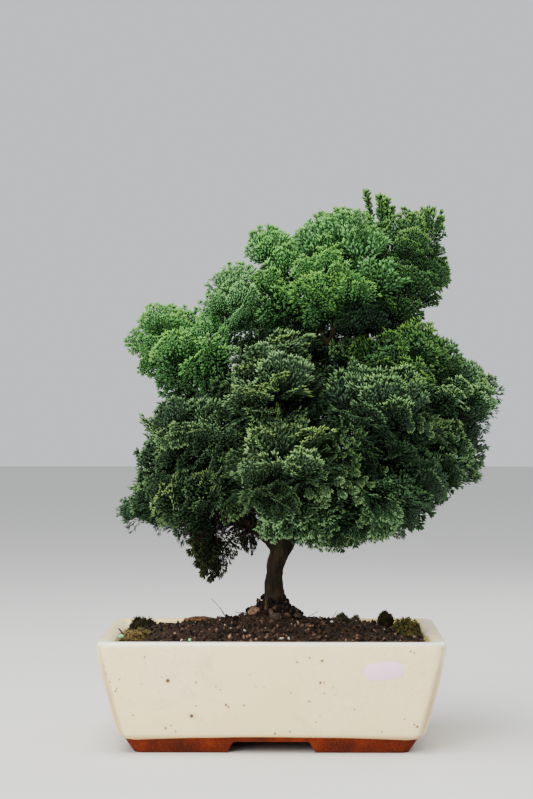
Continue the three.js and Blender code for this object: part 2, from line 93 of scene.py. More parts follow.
class Finish:
    """One procedural material, built node by node."""

    def __init__(self, name, **sockets):
        self.material = bpy.data.materials.new(name)
        self.material.use_nodes = True
        self.tree = self.material.node_tree
        self.shader = self.tree.nodes["Principled BSDF"]
        for socket, value in sockets.items():
            self.shader.inputs[socket.replace("_", " ")].default_value = value

    def node(self, kind, operation=None, values=(), **settings):
        made = self.tree.nodes.new(kind)
        if operation:
            made.operation = operation
        for name, value in settings.items():
            setattr(made, name, value)
        for i, value in enumerate(values):
            self.feed(made.inputs[i], value)
        return made

    def feed(self, socket, value):
        """Links a value to a socket, or sets the socket to a number or an sRGB colour."""
        if isinstance(value, bpy.types.NodeSocket):
            self.tree.links.new(value, socket)
        elif socket.type == "RGBA":
            socket.default_value = (*linear(value), 1)
        else:
            socket.default_value = value

    def math(self, operation, *values):
        return self.node("ShaderNodeMath", operation, values).outputs[0]

    def times(self, first, *others):
        """The product of values and numbers."""
        for other in others:
            first = self.math("MULTIPLY", first, other)
        return first

    def split(self, vector):
        """A vector's x, y and z."""
        return self.node("ShaderNodeSeparateXYZ", values=(vector,)).outputs

    def place(self, scale=(1, 1, 1), centre=(0, 0, 0)):
        """Object coordinates in metres, centred and scaled."""
        coordinates = self.node("ShaderNodeTexCoord").outputs["Object"]
        moved = self.node("ShaderNodeVectorMath", "SUBTRACT", (coordinates, tuple(centre)))
        return self.node("ShaderNodeVectorMath", "MULTIPLY", (moved.outputs[0], scale)).outputs[0]

    def height(self):
        """Height above the ground in metres."""
        return self.split(self.place())[2]

    def uv(self):
        """u and v of the piece's own map."""
        return self.split(self.node("ShaderNodeUVMap", uv_map="OFBake").outputs[0])[:2]

    def noise(self, scale, detail=4, roughness=0.55, vector=None, distortion=0):
        made = self.node("ShaderNodeTexNoise")
        self.feed(made.inputs["Vector"], vector or self.place())
        made.inputs["Scale"].default_value = scale
        made.inputs["Detail"].default_value = detail
        made.inputs["Roughness"].default_value = roughness
        made.inputs["Distortion"].default_value = distortion
        return made.outputs["Fac"]

    def cells(self, scale, feature="F1"):
        made = self.node("ShaderNodeTexVoronoi", feature=feature)
        self.feed(made.inputs["Vector"], self.place())
        made.inputs["Scale"].default_value = scale
        return made.outputs

    def span(self, value, low, high):
        """value from low to high becomes 0 to 1."""
        made = self.node("ShaderNodeMapRange")
        for socket, number in zip(made.inputs, (value, low, high, 0, 1)):
            self.feed(socket, number)
        return made.outputs[0]

    def span_mm(self, value, low, high):
        """value, in metres, from low to high, in millimetres, becomes 0 to 1."""
        return self.span(value, low * MM, high * MM)

    def ramp(self, factor, *stops):
        made = self.node("ShaderNodeValToRGB", values=(factor,))
        elements = made.color_ramp.elements
        while len(elements) < len(stops):
            elements.new(0.5)
        for element, (position, colour) in zip(elements, stops):
            element.position = position
            element.color = (*linear(colour), 1)
        return made.outputs["Color"]

    def mix(self, factor, first, second, blend="MIX"):
        made = self.node("ShaderNodeMix", data_type="RGBA", blend_type=blend)
        for i, value in ((0, factor), (6, first), (7, second)):
            self.feed(made.inputs[i], value)
        return made.outputs[2]

    def tinted(self, body, share, amount, colour):
        """body with this amount of a colour over it where share is 1."""
        return self.mix(self.times(share, amount), body, colour)

    def colour(self, value):
        self.feed(self.shader.inputs["Base Color"], value)

    def rough(self, value):
        self.feed(self.shader.inputs["Roughness"], value)

    def bump(self, height, strength, distance_mm):
        made = self.node("ShaderNodeBump")
        made.inputs["Strength"].default_value = strength
        made.inputs["Distance"].default_value = distance_mm * MM
        self.feed(made.inputs["Height"], height)
        self.feed(self.shader.inputs["Normal"], made.outputs[0])


def linear(colour):
    """An sRGB colour, 0 to 255 a channel, as linear light."""
    shares = (channel / 255 for channel in colour[:3])
    return tuple(s / 12.92 if s < 0.04045 else ((s + 0.055) / 1.055) ** 2.4 for s in shares)


# ------------------------------------------------------------------ mesh helpers


def linked(name, data):
    """A new object in the scene."""
    made = bpy.data.objects.new(name, data)
    bpy.context.scene.collection.objects.link(made)
    return made


def finish_piece(name, mesh, finish, replaced=None, smooth_angle=None):
    """Makes the piece's object, gives it its finish and joins it to the plant's one body."""
    piece = linked(name, mesh)
    mesh.materials.append(finish.material)
    if smooth_angle is not None:
        mesh.shade_smooth()
        mesh.set_sharp_from_angle(angle=math.radians(smooth_angle))
    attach(piece, "root")
    if replaced:
        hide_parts(replaced)


def mesh_from(bm, name):
    mesh = bpy.data.meshes.new(name)
    bm.to_mesh(mesh)
    bm.free()
    return mesh


def applied(mesh, kind, **settings):
    """The mesh after one modifier."""
    carrier = linked("carrier", mesh)
    modifier = carrier.modifiers.new(kind, kind)
    for name, value in settings.items():
        setattr(modifier, name, value)
    graph = bpy.context.evaluated_depsgraph_get()
    made = bpy.data.meshes.new_from_object(carrier.evaluated_get(graph))
    bpy.data.objects.remove(carrier)
    return made


def cad_mesh(node):
    """A merged copy of a CAD node's mesh as a bmesh."""
    bm = bmesh.new()
    bm.from_mesh(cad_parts[node].data)
    bmesh.ops.remove_doubles(bm, verts=bm.verts, dist=1e-6)
    return bm


def weathered(bm, smoothing, push):
    """Smooths a skin and moves each point along its normal by push(point), in millimetres."""
    for _ in range(smoothing):
        bmesh.ops.smooth_vert(bm, verts=bm.verts, factor=0.5, use_axis_x=True, use_axis_y=True,
                              use_axis_z=True)
    bm.normal_update()
    for v, move in [(v, v.normal * push(v.co / MM) * MM) for v in bm.verts]:
        v.co += move


def middle_and_half(node):
    """The middle of a CAD node's box and half of its sides, in millimetres."""
    low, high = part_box(node)
    return np.array((low + high) / 2 - POT_CENTRE) / MM, np.array(high - low) / 2 / MM


def arrays_of(bm):
    """A small shape's points and triangles, to be repeated."""
    bmesh.ops.triangulate(bm, faces=bm.faces)
    bm.verts.ensure_lookup_table()
    points = np.array([v.co for v in bm.verts], float)
    faces = np.array([[v.index for v in f.verts] for f in bm.faces], int)
    bm.free()
    return points, faces


def unit_spike(foot, tip):
    """A three-sided rod of length 1 around the origin, with its radius at both ends."""
    bm = bmesh.new()
    bmesh.ops.create_cone(bm, cap_ends=True, segments=3, radius1=foot, radius2=tip, depth=1)
    return arrays_of(bm)


def frames_along(direction, side):
    """Matrices whose third column follows direction and whose first leans to side."""
    third = direction / np.linalg.norm(direction, axis=-1, keepdims=True)
    second = np.cross(third, side)
    second /= np.linalg.norm(second, axis=-1, keepdims=True)
    first = np.cross(second, third)
    return np.stack([first, second, third], -1)


class Growth:
    """Gathers copies of small shapes, with a place on the finish for each point, as one mesh."""

    def __init__(self):
        self.points, self.faces, self.marks, self.total = [], [], [], 0

    def add(self, points, faces, marks):
        """Takes copies x corners x 3 in millimetres, one copy's triangles, copies x corners x 2."""
        copies, corners = points.shape[:2]
        starts = self.total + corners * np.arange(copies)
        self.points.append((points * MM + np.array(POT_CENTRE)).reshape(-1, 3))
        self.marks.append(np.broadcast_to(marks, (copies, corners, 2)).reshape(-1, 2))
        self.faces.append((faces[None] + starts[:, None, None]).reshape(-1, 3))
        self.total += copies * corners

    def add_rod(self, way, thick, taper, longer, tone, swing, dice):
        """Rods end to end along a way, each longer than its step by a share and a length."""
        points, faces = unit_spike(1, taper)
        for low, high in zip(way, way[1:]):
            long = np.linalg.norm(high - low) * longer[0] + longer[1]
            turn = frames_along((high - low)[None], dice.normal(0, 1, (1, 3)))[0]
            made = (points * (thick, thick, long)) @ turn.T + (low + high) / 2
            self.add(made[None], faces, (tone + points[:, :2] * swing)[None])

    def mesh(self, name):
        points = np.concatenate(self.points).astype(np.float32)
        faces = np.concatenate(self.faces).astype(np.int32)
        marks = np.clip(np.concatenate(self.marks), 0.002, 0.998).astype(np.float32)
        mesh = bpy.data.meshes.new(name)
        mesh.vertices.add(len(points))
        mesh.vertices.foreach_set("co", points.ravel())
        mesh.loops.add(faces.size)
        mesh.loops.foreach_set("vertex_index", faces.ravel())
        mesh.polygons.add(len(faces))
        mesh.polygons.foreach_set("loop_start", np.arange(0, faces.size, 3, dtype=np.int32))
        layer = mesh.uv_layers.new(name="OFBake")
        layer.data.foreach_set("uv", marks[faces.ravel()].ravel())
        mesh.update(calc_edges=True)
        return mesh


# ------------------------------------------------------------------ pot


def rounded_outline(bm, half_x, half_y, corner, cuts):
    """The edges of a rectangle with round corners, on z = 0 around the pot's centre."""
    made = bmesh.ops.create_grid(bm, x_segments=1, y_segments=1, size=1)
    for v in made["verts"]:
        v.co = Vector((math.copysign(half_x, v.co.x), math.copysign(half_y, v.co.y), 0)) * MM
    bmesh.ops.bevel(
        bm, geom=made["verts"], offset=corner * MM, affect="VERTICES", segments=7, profile=0.5,
        material=-1,
    )
    bmesh.ops.delete(bm, geom=bm.faces[:], context="FACES_ONLY")
    long_edges = [e for e in bm.edges if e.calc_length() > 2 * corner * MM]
    bmesh.ops.subdivide_edges(bm, edges=long_edges, cuts=cuts)
    return bm.edges[:]


def fit_outline(verts, old, new, corner, z):
    """Moves an outline's points from old to new half sides, keeping the corners round."""
    for v in verts:
        for axis in (0, 1):
            here = v.co[axis] / MM
            straight = old[axis] - corner
            if abs(here) >= straight - 1e-4:
                here = math.copysign(abs(here) - old[axis] + new[axis], here)
            else:
                here *= (new[axis] - corner) / straight
            v.co[axis] = here * MM
        v.co.z = z * MM


def walled_shape(half_x, half_y, corner, walls, cuts):
    """A closed shape that takes its outline through steps of height, side inset and front inset."""
    bm = bmesh.new()
    edges = foot = rounded_outline(bm, half_x, half_y, corner, cuts)
    now = (half_x, half_y)
    for step, (height, side, front) in enumerate(walls):
        if step:
            made = bmesh.ops.extrude_edge_only(bm, edges=edges)["geom"]
            edges = [g for g in made if isinstance(g, bmesh.types.BMEdge)]
        then = (half_x - side, half_y - front)
        fit_outline({v for e in edges for v in e.verts}, now, then, corner, height)
        now = then
    for rim in (foot, edges):
        bmesh.ops.contextual_create(bm, geom=rim)
    bmesh.ops.recalc_face_normals(bm, faces=bm.faces)
    return bm


def archway(narrow, wide, reach, along_x):
    """A prism with sloping sides, to cut a passage under the pot."""
    bm = bmesh.new()
    bmesh.ops.create_cube(bm, size=1)
    for v in bm.verts:
        top = v.co.z > 0
        across = math.copysign((narrow if top else wide) / 2, v.co.x)
        along = math.copysign(reach, v.co.y)
        v.co = Vector((across, along, ARCH["height"] if top else ARCH["below"])) * MM
    if along_x:
        bmesh.ops.rotate(bm, verts=bm.verts, matrix=Matrix.Rotation(math.pi / 2, 3, "Z"))
    sides = [e for e in bm.edges if abs(e.verts[0].co.z - e.verts[1].co.z) < 1e-6
             and e.verts[0].co.z > 0 and e.calc_length() > 2.2 * wide * MM]
    bmesh.ops.bevel(bm, geom=sides, offset=ARCH["round"] * MM, affect="EDGES", segments=3,
                    profile=0.5, material=-1)
    return mesh_from(bm, "archway")


def drain_column(x):
    """An upright column, to cut one of the two drain holes."""
    bm = bmesh.new()
    bmesh.ops.create_cone(
        bm, cap_ends=True, segments=48, radius1=DRAIN["radius"] * MM, radius2=DRAIN["radius"] * MM,
        depth=(DRAIN["high"] - DRAIN["low"]) * MM,
        matrix=Matrix.Translation((x * MM, 0, (DRAIN["high"] + DRAIN["low"]) / 2 * MM)),
    )
    return mesh_from(bm, "column")


def carved(bm, name, cutters=()):
    """A part of the pot without the space of the cutters and of the drain holes, in its place."""
    mesh = mesh_from(bm, name)
    for cutter in (*cutters, drain_column(-DRAIN["offset"]), drain_column(DRAIN["offset"])):
        tool = linked("cutter", cutter)
        mesh = applied(mesh, "BOOLEAN", object=tool, operation="DIFFERENCE", solver="EXACT")
        bpy.data.objects.remove(tool)
    mesh.transform(Matrix.Translation(POT_CENTRE))
    return mesh


def pot_body():
    """The glazed walls: up outside, over the round lip and down inside to the floor."""
    bm = walled_shape(POT["half_x"], POT["half_y"], POT["corner"], OUTER_WALL + INNER_WALL, 9)
    sag_lower_edge(bm)
    return carved(bm, "pot")


def sag_lower_edge(bm):
    """The lower edge of the glaze wanders a little, highest at the middle of each long wall."""
    inner_x, inner_y = SAG["inner"]
    for v in bm.verts:
        inside = abs(v.co.x) < inner_x * MM and abs(v.co.y) < inner_y * MM
        if v.co.z > SAG["below"] * MM or inside:
            continue
        share = 1 - v.co.z / (SAG["below"] * MM)
        middle = max(0, 1 - (v.co.x / (SAG["half"] * MM)) ** 2)
        drip = noise.noise(Vector((v.co.x, v.co.y, 0)) / (SAG["drip"] * MM))
        v.co.z += share * (SAG["rise"] * middle - SAG["drop"] + SAG["drop"] * drip) * MM


def pot_foot():
    """The unglazed plinth, cut through below so that the pot stands on four feet."""
    bm = walled_shape(POT["half_x"], POT["half_y"], POT["foot_corner"], FOOT_WALL, 5)
    return carved(bm, "pot_foot", (archway(*ARCH["front"], along_x=False),
                                   archway(*ARCH["side"], along_x=True)))


SPECKS = (  # x and z on the front wall, and radius
    (-71.1, 51.4, 1.5), (-54.9, 26.5, 1.4), (-51.8, 33.8, 0.5), (-31.1, 34.4, 0.85),
    (-29.4, 33, 0.7), (-18.7, 34.1, 0.6), (-72.9, 17.9, 0.7), (-69.2, 19.6, 0.5), (-107.2, 44, 0.6),
    (100.9, 19.1, 0.8), (98.9, 20.6, 0.6), (92, 24.5, 0.45), (-95.5, 27, 0.5), (-66, 15.6, 0.5),
    (26.2, 36.9, 0.6), (33.8, 50, 0.8), (35.1, 65.5, 0.9), (26.5, 67.6, 0.6), (17.9, 64.5, 0.6),
    (57.2, 31.3, 0.5), (-106.3, 45.8, 0.5), (-87, 67.9, 0.5), (-51.8, 50, 0.55), (2.7, 14.1, 0.7),
    (13, 15.5, 0.6), (76.5, 15.5, 0.5), (95.9, 72.1, 0.6), (98.4, 71, 0.5),
)
# where the glaze changes, in millimetres: from where its tint is none to where it is full
GLAZE_FOOT = (13.5, 10.5)  # height of the brown lower edge
GLAZE_CREST = (74.5, 77.2)  # height of the yellower glaze on the lip, which also bounds the painted highlight on the front lip
FRONT_WALL = (14, 13)  # distance behind the pot's front of the wall with the specks
FRONT_LIP_HIGHLIGHT = (30, 4)  # distance behind the pot's front of the painted highlight along the lip
SPECK_EDGE = (1.15, 0.7)  # a speck's edge and the edge of its halo, in its radii
HALO_EDGE = (2.6, 0.9)
# the thin glaze on the corners: heights, inward slope of the walls, its edge and its strength
CORNER = {"height": (74, 9), "taper": (16.5, 12.5), "wobble": (4, 2.6), "core": 0.8, "tint": 0.75}
# the unglazed band inside the walls
INNER = {"x": (112.6, 112.2), "y": (79.1, 78.7), "top": (76.2, 74.5), "bottom": (40, 50)}


def glaze_finish():
    """Cream glaze: thin and tan along the corners, with faint crazing, stains and iron specks, and a
    painted highlight along the front lip.
    """
    glaze = Finish("cream_glaze", Roughness=0.24, Coat_Weight=0.35, Coat_Roughness=0.12)
    body = glaze.ramp(
        glaze.noise(16, 5, 0.6),
        (0.30, (253, 228, 162)), (0.5, (255, 234, 174)), (0.72, (255, 241, 190)),
    )
    stain = glaze.span(glaze.noise(38, 6, 0.72, distortion=0.6), 0.56, 0.78)
    body = glaze.tinted(body, stain, 0.5, (208, 180, 126))
    craze = glaze.span(glaze.cells(120, "DISTANCE_TO_EDGE")["Distance"], 0.028, 0.0)
    patch = glaze.span(glaze.noise(11, 2), 0.45, 0.7)
    body = glaze.tinted(body, glaze.times(craze, patch), 0.5, (203, 186, 150))
    body = glaze.tinted(body, corner_share(glaze), CORNER["tint"], (182, 138, 94))
    body = glaze.tinted(body, glaze.span_mm(glaze.height(), *GLAZE_FOOT), 0.7, (190, 142, 90))
    crest = glaze.span_mm(glaze.height(), *GLAZE_CREST)
    body = glaze.tinted(body, crest, 0.8, (255, 226, 132))
    # painted highlight: near white along the top of the front lip only
    lip = glaze.times(crest, behind_front(glaze, *FRONT_LIP_HIGHLIGHT))
    body = glaze.tinted(body, lip, 0.8, (255, 253, 244))
    grain = glaze.cells(210)
    small, rare = glaze.span(grain["Distance"], 0.2, 0.11), glaze.span(grain["Color"], 0.62, 0.64)
    dirty = glaze.span(glaze.noise(26, 3), 0.46, 0.58)
    body = glaze.tinted(body, glaze.times(small, rare, dirty), 0.7, (140, 104, 66))
    spots = halo = 0.0
    for x, z, radius in SPECKS:
        off = glaze.place((1, 0, 1), place(x, 0, z))
        far = glaze.node("ShaderNodeVectorMath", "LENGTH", (off,)).outputs["Value"]
        dot, ring = (glaze.span_mm(far, radius * outer, radius * inner)
                     for outer, inner in (SPECK_EDGE, HALO_EDGE))
        spots = glaze.math("MAXIMUM", spots, dot)
        halo = glaze.math("MAXIMUM", halo, ring)
    on_front = behind_front(glaze, *FRONT_WALL)
    body = glaze.tinted(body, glaze.times(halo, on_front), 0.4, (196, 168, 118))
    body = glaze.mix(glaze.times(spots, on_front), body, (92, 58, 34))
    earth = glaze.ramp(glaze.noise(90, 5), (0.34, (120, 90, 52)), (0.44, (236, 206, 130)),
                       (0.62, (250, 226, 150)), (0.7, (206, 232, 200)))
    glaze.colour(glaze.mix(inside_share(glaze), body, earth))
    glaze.rough(glaze.math("MULTIPLY_ADD", glaze.noise(60, 3), 0.16, 0.17))
    ripple = glaze.math("ADD", glaze.noise(34, 2), glaze.times(glaze.noise(210, 2), 0.18))
    glaze.bump(ripple, 0.35, 0.9)
    return glaze


def behind_front(glaze, far, near):
    """1 up to near millimetres behind the pot's front, fading to 0 at far."""
    y = glaze.split(glaze.place())[1]
    return glaze.span(y, POT_LOW.y + far * MM, POT_LOW.y + near * MM)


def corner_share(glaze):
    """1 along the pot's four upright corners, fading to 0 on the walls."""
    x, y, z = glaze.split(glaze.place(centre=POT_CENTRE))
    slope = glaze.span_mm(z, *CORNER["height"])
    gaps = []
    for along, half, taper in zip((x, y), (POT["half_x"], POT["half_y"]), CORNER["taper"]):
        wall = glaze.math("MULTIPLY_ADD", slope, -taper * MM, half * MM)
        gaps.append(glaze.math("SUBTRACT", wall, glaze.math("ABSOLUTE", along)))
    swing, least = CORNER["wobble"]
    wobble = glaze.math("MULTIPLY_ADD", glaze.noise(55, 4), swing * MM, least * MM)
    return glaze.span(glaze.math("MAXIMUM", *gaps), wobble, CORNER["core"] * MM)


def inside_share(glaze):
    """1 on the inner walls between the lip and the potting mix, where the glaze ends."""
    x, y, z = glaze.split(glaze.place(centre=POT_CENTRE))
    shares = [glaze.span_mm(glaze.math("ABSOLUTE", x), *INNER["x"]),
              glaze.span_mm(glaze.math("ABSOLUTE", y), *INNER["y"]),
              glaze.span_mm(z, *INNER["top"]), glaze.span_mm(z, *INNER["bottom"])]
    return glaze.times(*shares)


def terracotta_finish():
    """Bare orange-brown clay, rougher and darker towards the bottom."""
    clay = Finish("terracotta", Roughness=0.85, Specular_IOR_Level=0.2)
    body = clay.ramp(
        clay.noise(45, 6, 0.65),
        (0.32, (62, 17, 1)), (0.52, (90, 26, 3)), (0.7, (116, 42, 9)),
    )
    body = clay.tinted(body, clay.span_mm(clay.height(), 2.5, 0), 0.5, (66, 34, 20))
    grit = clay.span(clay.cells(900)["Distance"], 0.28, 0.1)
    clay.colour(clay.tinted(body, grit, 0.35, (170, 104, 66)))
    clay.bump(clay.math("ADD", clay.noise(160, 5), clay.times(grit, 0.3)), 0.5, 0.6)
    return clay


finish_piece("pot_body", pot_body(), glaze_finish(), "pot", smooth_angle=35)
finish_piece("pot_foot", pot_foot(), terracotta_finish(), "pot", smooth_angle=35)


# ------------------------------------------------------------------ soil and what lies on it

SOIL = {"edge": 72.5, "mound": 13.5, "reach": (111, 77.5), "collar": 13, "collar_radius": 11.5}
# the mix's half sides, grid and corners, its smoother rim, and the height and taper of its foot
PLUG = {"half": (108.7, 77.9), "grid": (150, 108), "corner": 8, "rim": 4, "foot": 64,
        "taper": 0.985}


def soil_height(x, y):
    """Height of the potting mix in millimetres: a low mound with a collar round the trunk."""
    reach_x, reach_y = SOIL["reach"]
    rise = (1 - min(1, abs(x) / reach_x) ** 2) * (1 - min(1, abs(y) / reach_y) ** 2)
    collar = math.exp(-(x * x + y * y) / (2 * SOIL["collar_radius"] ** 2))
    ripple = 0.8 * math.sin(0.31 * x + 1.7) * math.sin(0.27 * y + 0.4)
    return SOIL["edge"] + SOIL["mound"] * rise + SOIL["collar"] * collar + ripple


def soil_lumps(x, y):
    """Extra height of clods and crumbs in millimetres."""
    at = Vector((x, y, 3.7))
    clods = noise.noise(at / 9) + 0.7 * noise.noise(at / 4.3) + 0.5 * noise.noise(at / 2.1)
    crumbs = noise.voronoi(at / 3.1)[0][0]
    return 1.7 * clods + 1.1 * (0.45 - crumbs)


def soil_block():
    """The potting mix: a crumbly top on a plug that fills the pot's inside."""
    bm = bmesh.new()
    bmesh.ops.create_grid(bm, x_segments=PLUG["grid"][0], y_segments=PLUG["grid"][1], size=1)
    rim = [e for e in bm.edges if e.is_boundary]
    lower = bmesh.ops.extrude_edge_only(bm, edges=rim)["geom"]
    skirt = {g for g in lower if isinstance(g, bmesh.types.BMVert)}
    bmesh.ops.contextual_create(bm, geom=[g for g in lower if isinstance(g, bmesh.types.BMEdge)])
    half_x, half_y = PLUG["half"]
    corner = PLUG["corner"]
    for v in bm.verts:
        x, y = v.co.x * half_x, v.co.y * half_y
        over_x, over_y = abs(x) - half_x + corner, abs(y) - half_y + corner
        if over_x > 0 and over_y > 0:
            shrink = max(over_x, over_y) / math.hypot(over_x, over_y)
            x = math.copysign(half_x - corner + over_x * shrink, x)
            y = math.copysign(half_y - corner + over_y * shrink, y)
        if v in skirt:
            v.co = place(x * PLUG["taper"], y * PLUG["taper"], PLUG["foot"])
        else:
            edge = min(1, (half_x - abs(x)) / PLUG["rim"], (half_y - abs(y)) / PLUG["rim"])
            v.co = place(x, y, soil_height(x, y) + soil_lumps(x, y) * max(0.2, edge))
    bmesh.ops.recalc_face_normals(bm, faces=bm.faces)
    return mesh_from(bm, "soil")


def soil_finish():
    """Dark brown potting mix with paler fibres and near-black patches of painted shade for its
    hollows.
    """
    soil = Finish("potting_mix", Roughness=1.0, Specular_IOR_Level=0.2)
    # painted shade: the near-black end of this ramp stands for the shade in hollows
    body = soil.ramp(
        soil.noise(170, 7, 0.7),
        (0.28, (13, 9, 6)), (0.46, (30, 21, 14)), (0.6, (48, 34, 22)), (0.78, (82, 59, 38)),
    )
    grains = soil.cells(520)
    tint = soil.ramp(grains["Color"], (0.0, (17, 12, 9)), (0.55, (52, 38, 27)),
                     (0.93, (96, 72, 50)), (0.99, (176, 164, 144)))
    soil.colour(soil.mix(0.45, body, tint))
    soil.bump(soil.math("ADD", grains["Distance"], soil.noise(700, 4)), 0.8, 1.0)
    return soil


def unit_pebble(seed):
    bm = bmesh.new()
    bmesh.ops.create_icosphere(bm, subdivisions=1, radius=1)
    for v in bm.verts:
        v.co *= 1 + 0.35 * noise.noise(v.co * 1.3 + Vector((seed, 0, 0)))
    return arrays_of(bm)


def tumbled(points, size, widest, flat, dice):
    """Copies of a pebble in their sizes, stretched and turned at random."""
    shape = np.stack([size * dice.uniform(0.9, widest, len(size)), size, size * flat], -1)
    turns = np.array([Euler(dice.uniform(-3.1, 3.1, 3)).to_matrix() for _ in size])
    return np.einsum("cij,cpj->cpi", turns, points[None] * shape[:, None])


def pebble_marks(points, tones):
    """Each pebble's tone on the finish, and a painted shade that is darker below and palest on its
    top.
    """
    marks = np.empty((len(tones), len(points), 2))
    marks[..., 0] = tones[:, None] + 0.01 * points[None, :, 0]
    # painted light: each pebble lighter on its top, darker underneath
    marks[..., 1] = 0.5 + 0.48 * points[None, :, 2]
    return marks


# crumbs against the roots: number, middle, inner and outer radius, height and foot of the heap
COLLAR = {"count": 260, "centre": 1.5, "ring": (6.5, 19), "heap": 6.8, "slope": 15}


def collar_crumbs(growth, dice):
    """Dark clods and fibres heaped against the roots."""
    points, faces = unit_pebble(9)
    count = COLLAR["count"]
    size = 0.5 + 2.0 * dice.random(count) ** 2.2
    turned = tumbled(points, size, 1.9, 0.8, dice)
    angle, out = dice.uniform(0, 2 * math.pi, count), dice.uniform(*COLLAR["ring"], count)
    x, y = COLLAR["centre"] + np.cos(angle) * out, np.sin(angle) * out
    perch = dice.uniform(0, COLLAR["heap"], count) * np.clip(1 - (out - 6) / COLLAR["slope"], 0, 1)
    z = [soil_height(a, b) + 0.4 * s + p for a, b, s, p in zip(x, y, size, perch)]
    centres = np.stack([x, y, np.array(z)], -1)
    tones = 0.02 + 0.6 * dice.random(count) ** 1.6
    growth.add(turned + centres[:, None], faces, pebble_marks(points, tones))


ROOT_HAIRS = (  # foot and tip in millimetres, half thickness
    ((-32, -6, 84), (-44, -8, 101), 0.28), ((-30, -7, 85), (-37, -12, 95), 0.28),
    ((-16, -10, 90), (-27, -14, 92), 0.3), ((24, -14, 87), (33, -20, 93), 0.28),
    ((12, -17, 88), (5, -28, 91), 0.3), ((40, 6, 84), (47, 0, 92), 0.28),
    ((-105, -30, 74), (-109, -32, 82), 0.7),
)


def root_hair(growth, foot, tip, thick, dice):
    """A fine bent root that stands out of the potting mix."""
    foot, tip = np.array(foot, float), np.array(tip, float)
    bend = (foot + tip) / 2 + dice.normal(0, 1.5, 3)
    steps = np.linspace(0, 1, 6)
    way = [foot * (1 - t) ** 2 + 2 * bend * t * (1 - t) + tip * t ** 2 for t in steps]
    growth.add_rod(way, thick, 0.8, (1.1, 0), (0.4, 0.6), (0.02, 0.3), dice)


GRIT = {  # count, smallest and largest radius, flatness, tones on the finish
    "crumbs": (1500, 0.5, 1.5, 0.8, (0.02, 0.5)), "chips": (460, 0.7, 2.1, 0.6, (0.3, 0.7)),
    "perlite": (36, 0.4, 0.95, 0.9, (0.9, 0.965)), "clay": (150, 0.5, 1.3, 0.6, (0.58, 0.8)),
}
GRIT_HALF = (107, 76)
SCRAP, SCRAP_SIZE = (-107, -34, 76.5), (2.4, 1.0, 1.6)  # a bright green crumb at the left wall


def soil_grit():
    """Loose crumbs, bark chips, white perlite and bits of clay on the potting mix."""
    dice = np.random.default_rng(7)
    growth = Growth()
    half_x, half_y = GRIT_HALF
    for seed, (kind, (count, small, large, flat, tone)) in enumerate(GRIT.items()):
        points, faces = unit_pebble(seed)
        size = dice.uniform(small, large, count)
        turned = tumbled(points, size, 1.6, flat, dice)
        x = dice.uniform(-1, 1, count) * half_x
        y = dice.uniform(-1, 1, count) * half_y
        if kind == "chips":
            gathered = dice.random(count) < 0.5
            x = np.where(gathered, dice.normal(0, 26, count), x).clip(-half_x, half_x)
        z = [soil_height(a, b) + soil_lumps(a, b) + 0.2 * s for a, b, s in zip(x, y, size)]
        centres = np.stack([x, y, np.array(z)], -1)
        tones = dice.uniform(*tone, count)
        if kind in ("crumbs", "chips"):
            tones *= 1 + np.array([noise.noise(Vector((a, b, 0)) / 13) for a, b in zip(x, y)])
        growth.add(turned + centres[:, None], faces, pebble_marks(points, tones))
    collar_crumbs(growth, dice)
    points, faces = unit_pebble(4)
    # painted light: the green scrap lighter on its top
    marks = np.stack([np.ones(len(points)), 0.7 + 0.2 * points[:, 2]], -1)
    growth.add((np.array(SCRAP) + points * SCRAP_SIZE)[None], faces, marks[None])
    for foot, tip, thick in ROOT_HAIRS:
        root_hair(growth, foot, tip, thick, dice)
    return growth.mesh("soil_grit")


def grit_finish():
    grit = Finish("loose_grit", Roughness=0.95, Specular_IOR_Level=0.2)
    u, v = grit.uv()
    body = grit.ramp(
        u, (0.0, (12, 9, 7)), (0.28, (36, 25, 19)), (0.45, (66, 46, 36)), (0.62, (112, 82, 65)),
        (0.8, (158, 124, 100)), (0.89, (226, 220, 208)), (0.97, (242, 240, 234)),
        (0.99, (128, 222, 150)),
    )
    # painted shade: v darkens the undersides of pebbles and crumbs
    shade = grit.ramp(v, (0.0, (120, 120, 120)), (1.0, (255, 255, 255)))
    grit.colour(grit.mix(1.0, body, shade, "MULTIPLY"))
    return grit


finish_piece("soil", soil_block(), soil_finish(), "soil", smooth_angle=50)
finish_piece("soil_grit", soil_grit(), grit_finish())

MOSS = {  # node: centre x and y, half sizes, lumpiness, tones, blade length and count
    "moss_right_dark": ((83, 27), (5.8, 5.8, 13), 0.25, "moss_dark", 2.4, 800),
    "moss_right_green": ((97, 3), (10.6, 29, 11.5), 1.5, "moss_green", 2.4, 2100),
    "moss_left_green": ((-96, -26), (11.5, 18, 6), 1.4, "moss_tan", 2.2, 1200),
    "moss_left_dark": ((-96, 46), (10, 14, 10), 1.7, "moss_dark", 2.6, 1100),
    "lichen_back": ((55, 40), (10, 7, 8), 1.5, "lichen", 2.2, 600),
}
# the mound under the shoots: its share of the cushion's width and height, and how deep it goes
MOUND = {"width": 0.98, "height": 0.86, "below": -2.5, "sink": 0.8, "shoot_sink": 1.4}


def mat_height(x, y, half, lumpy_share, seed):
    """Height of a cushion of moss above its middle plane, in millimetres."""
    out = math.hypot(x / half[0], y / half[1])
    lump = 0.9 * noise.noise(Vector((x / 5, y / 5, seed)))
    lump += 0.4 * noise.noise(Vector((x / 2.2, y / 2.2, seed)))
    lump = 1 - 0.35 * min(1, lumpy_share) + lumpy_share * lump
    return half[2] * math.sqrt(max(0, 1 - out ** 2.4)) * min(1.15, max(0.12, lump))


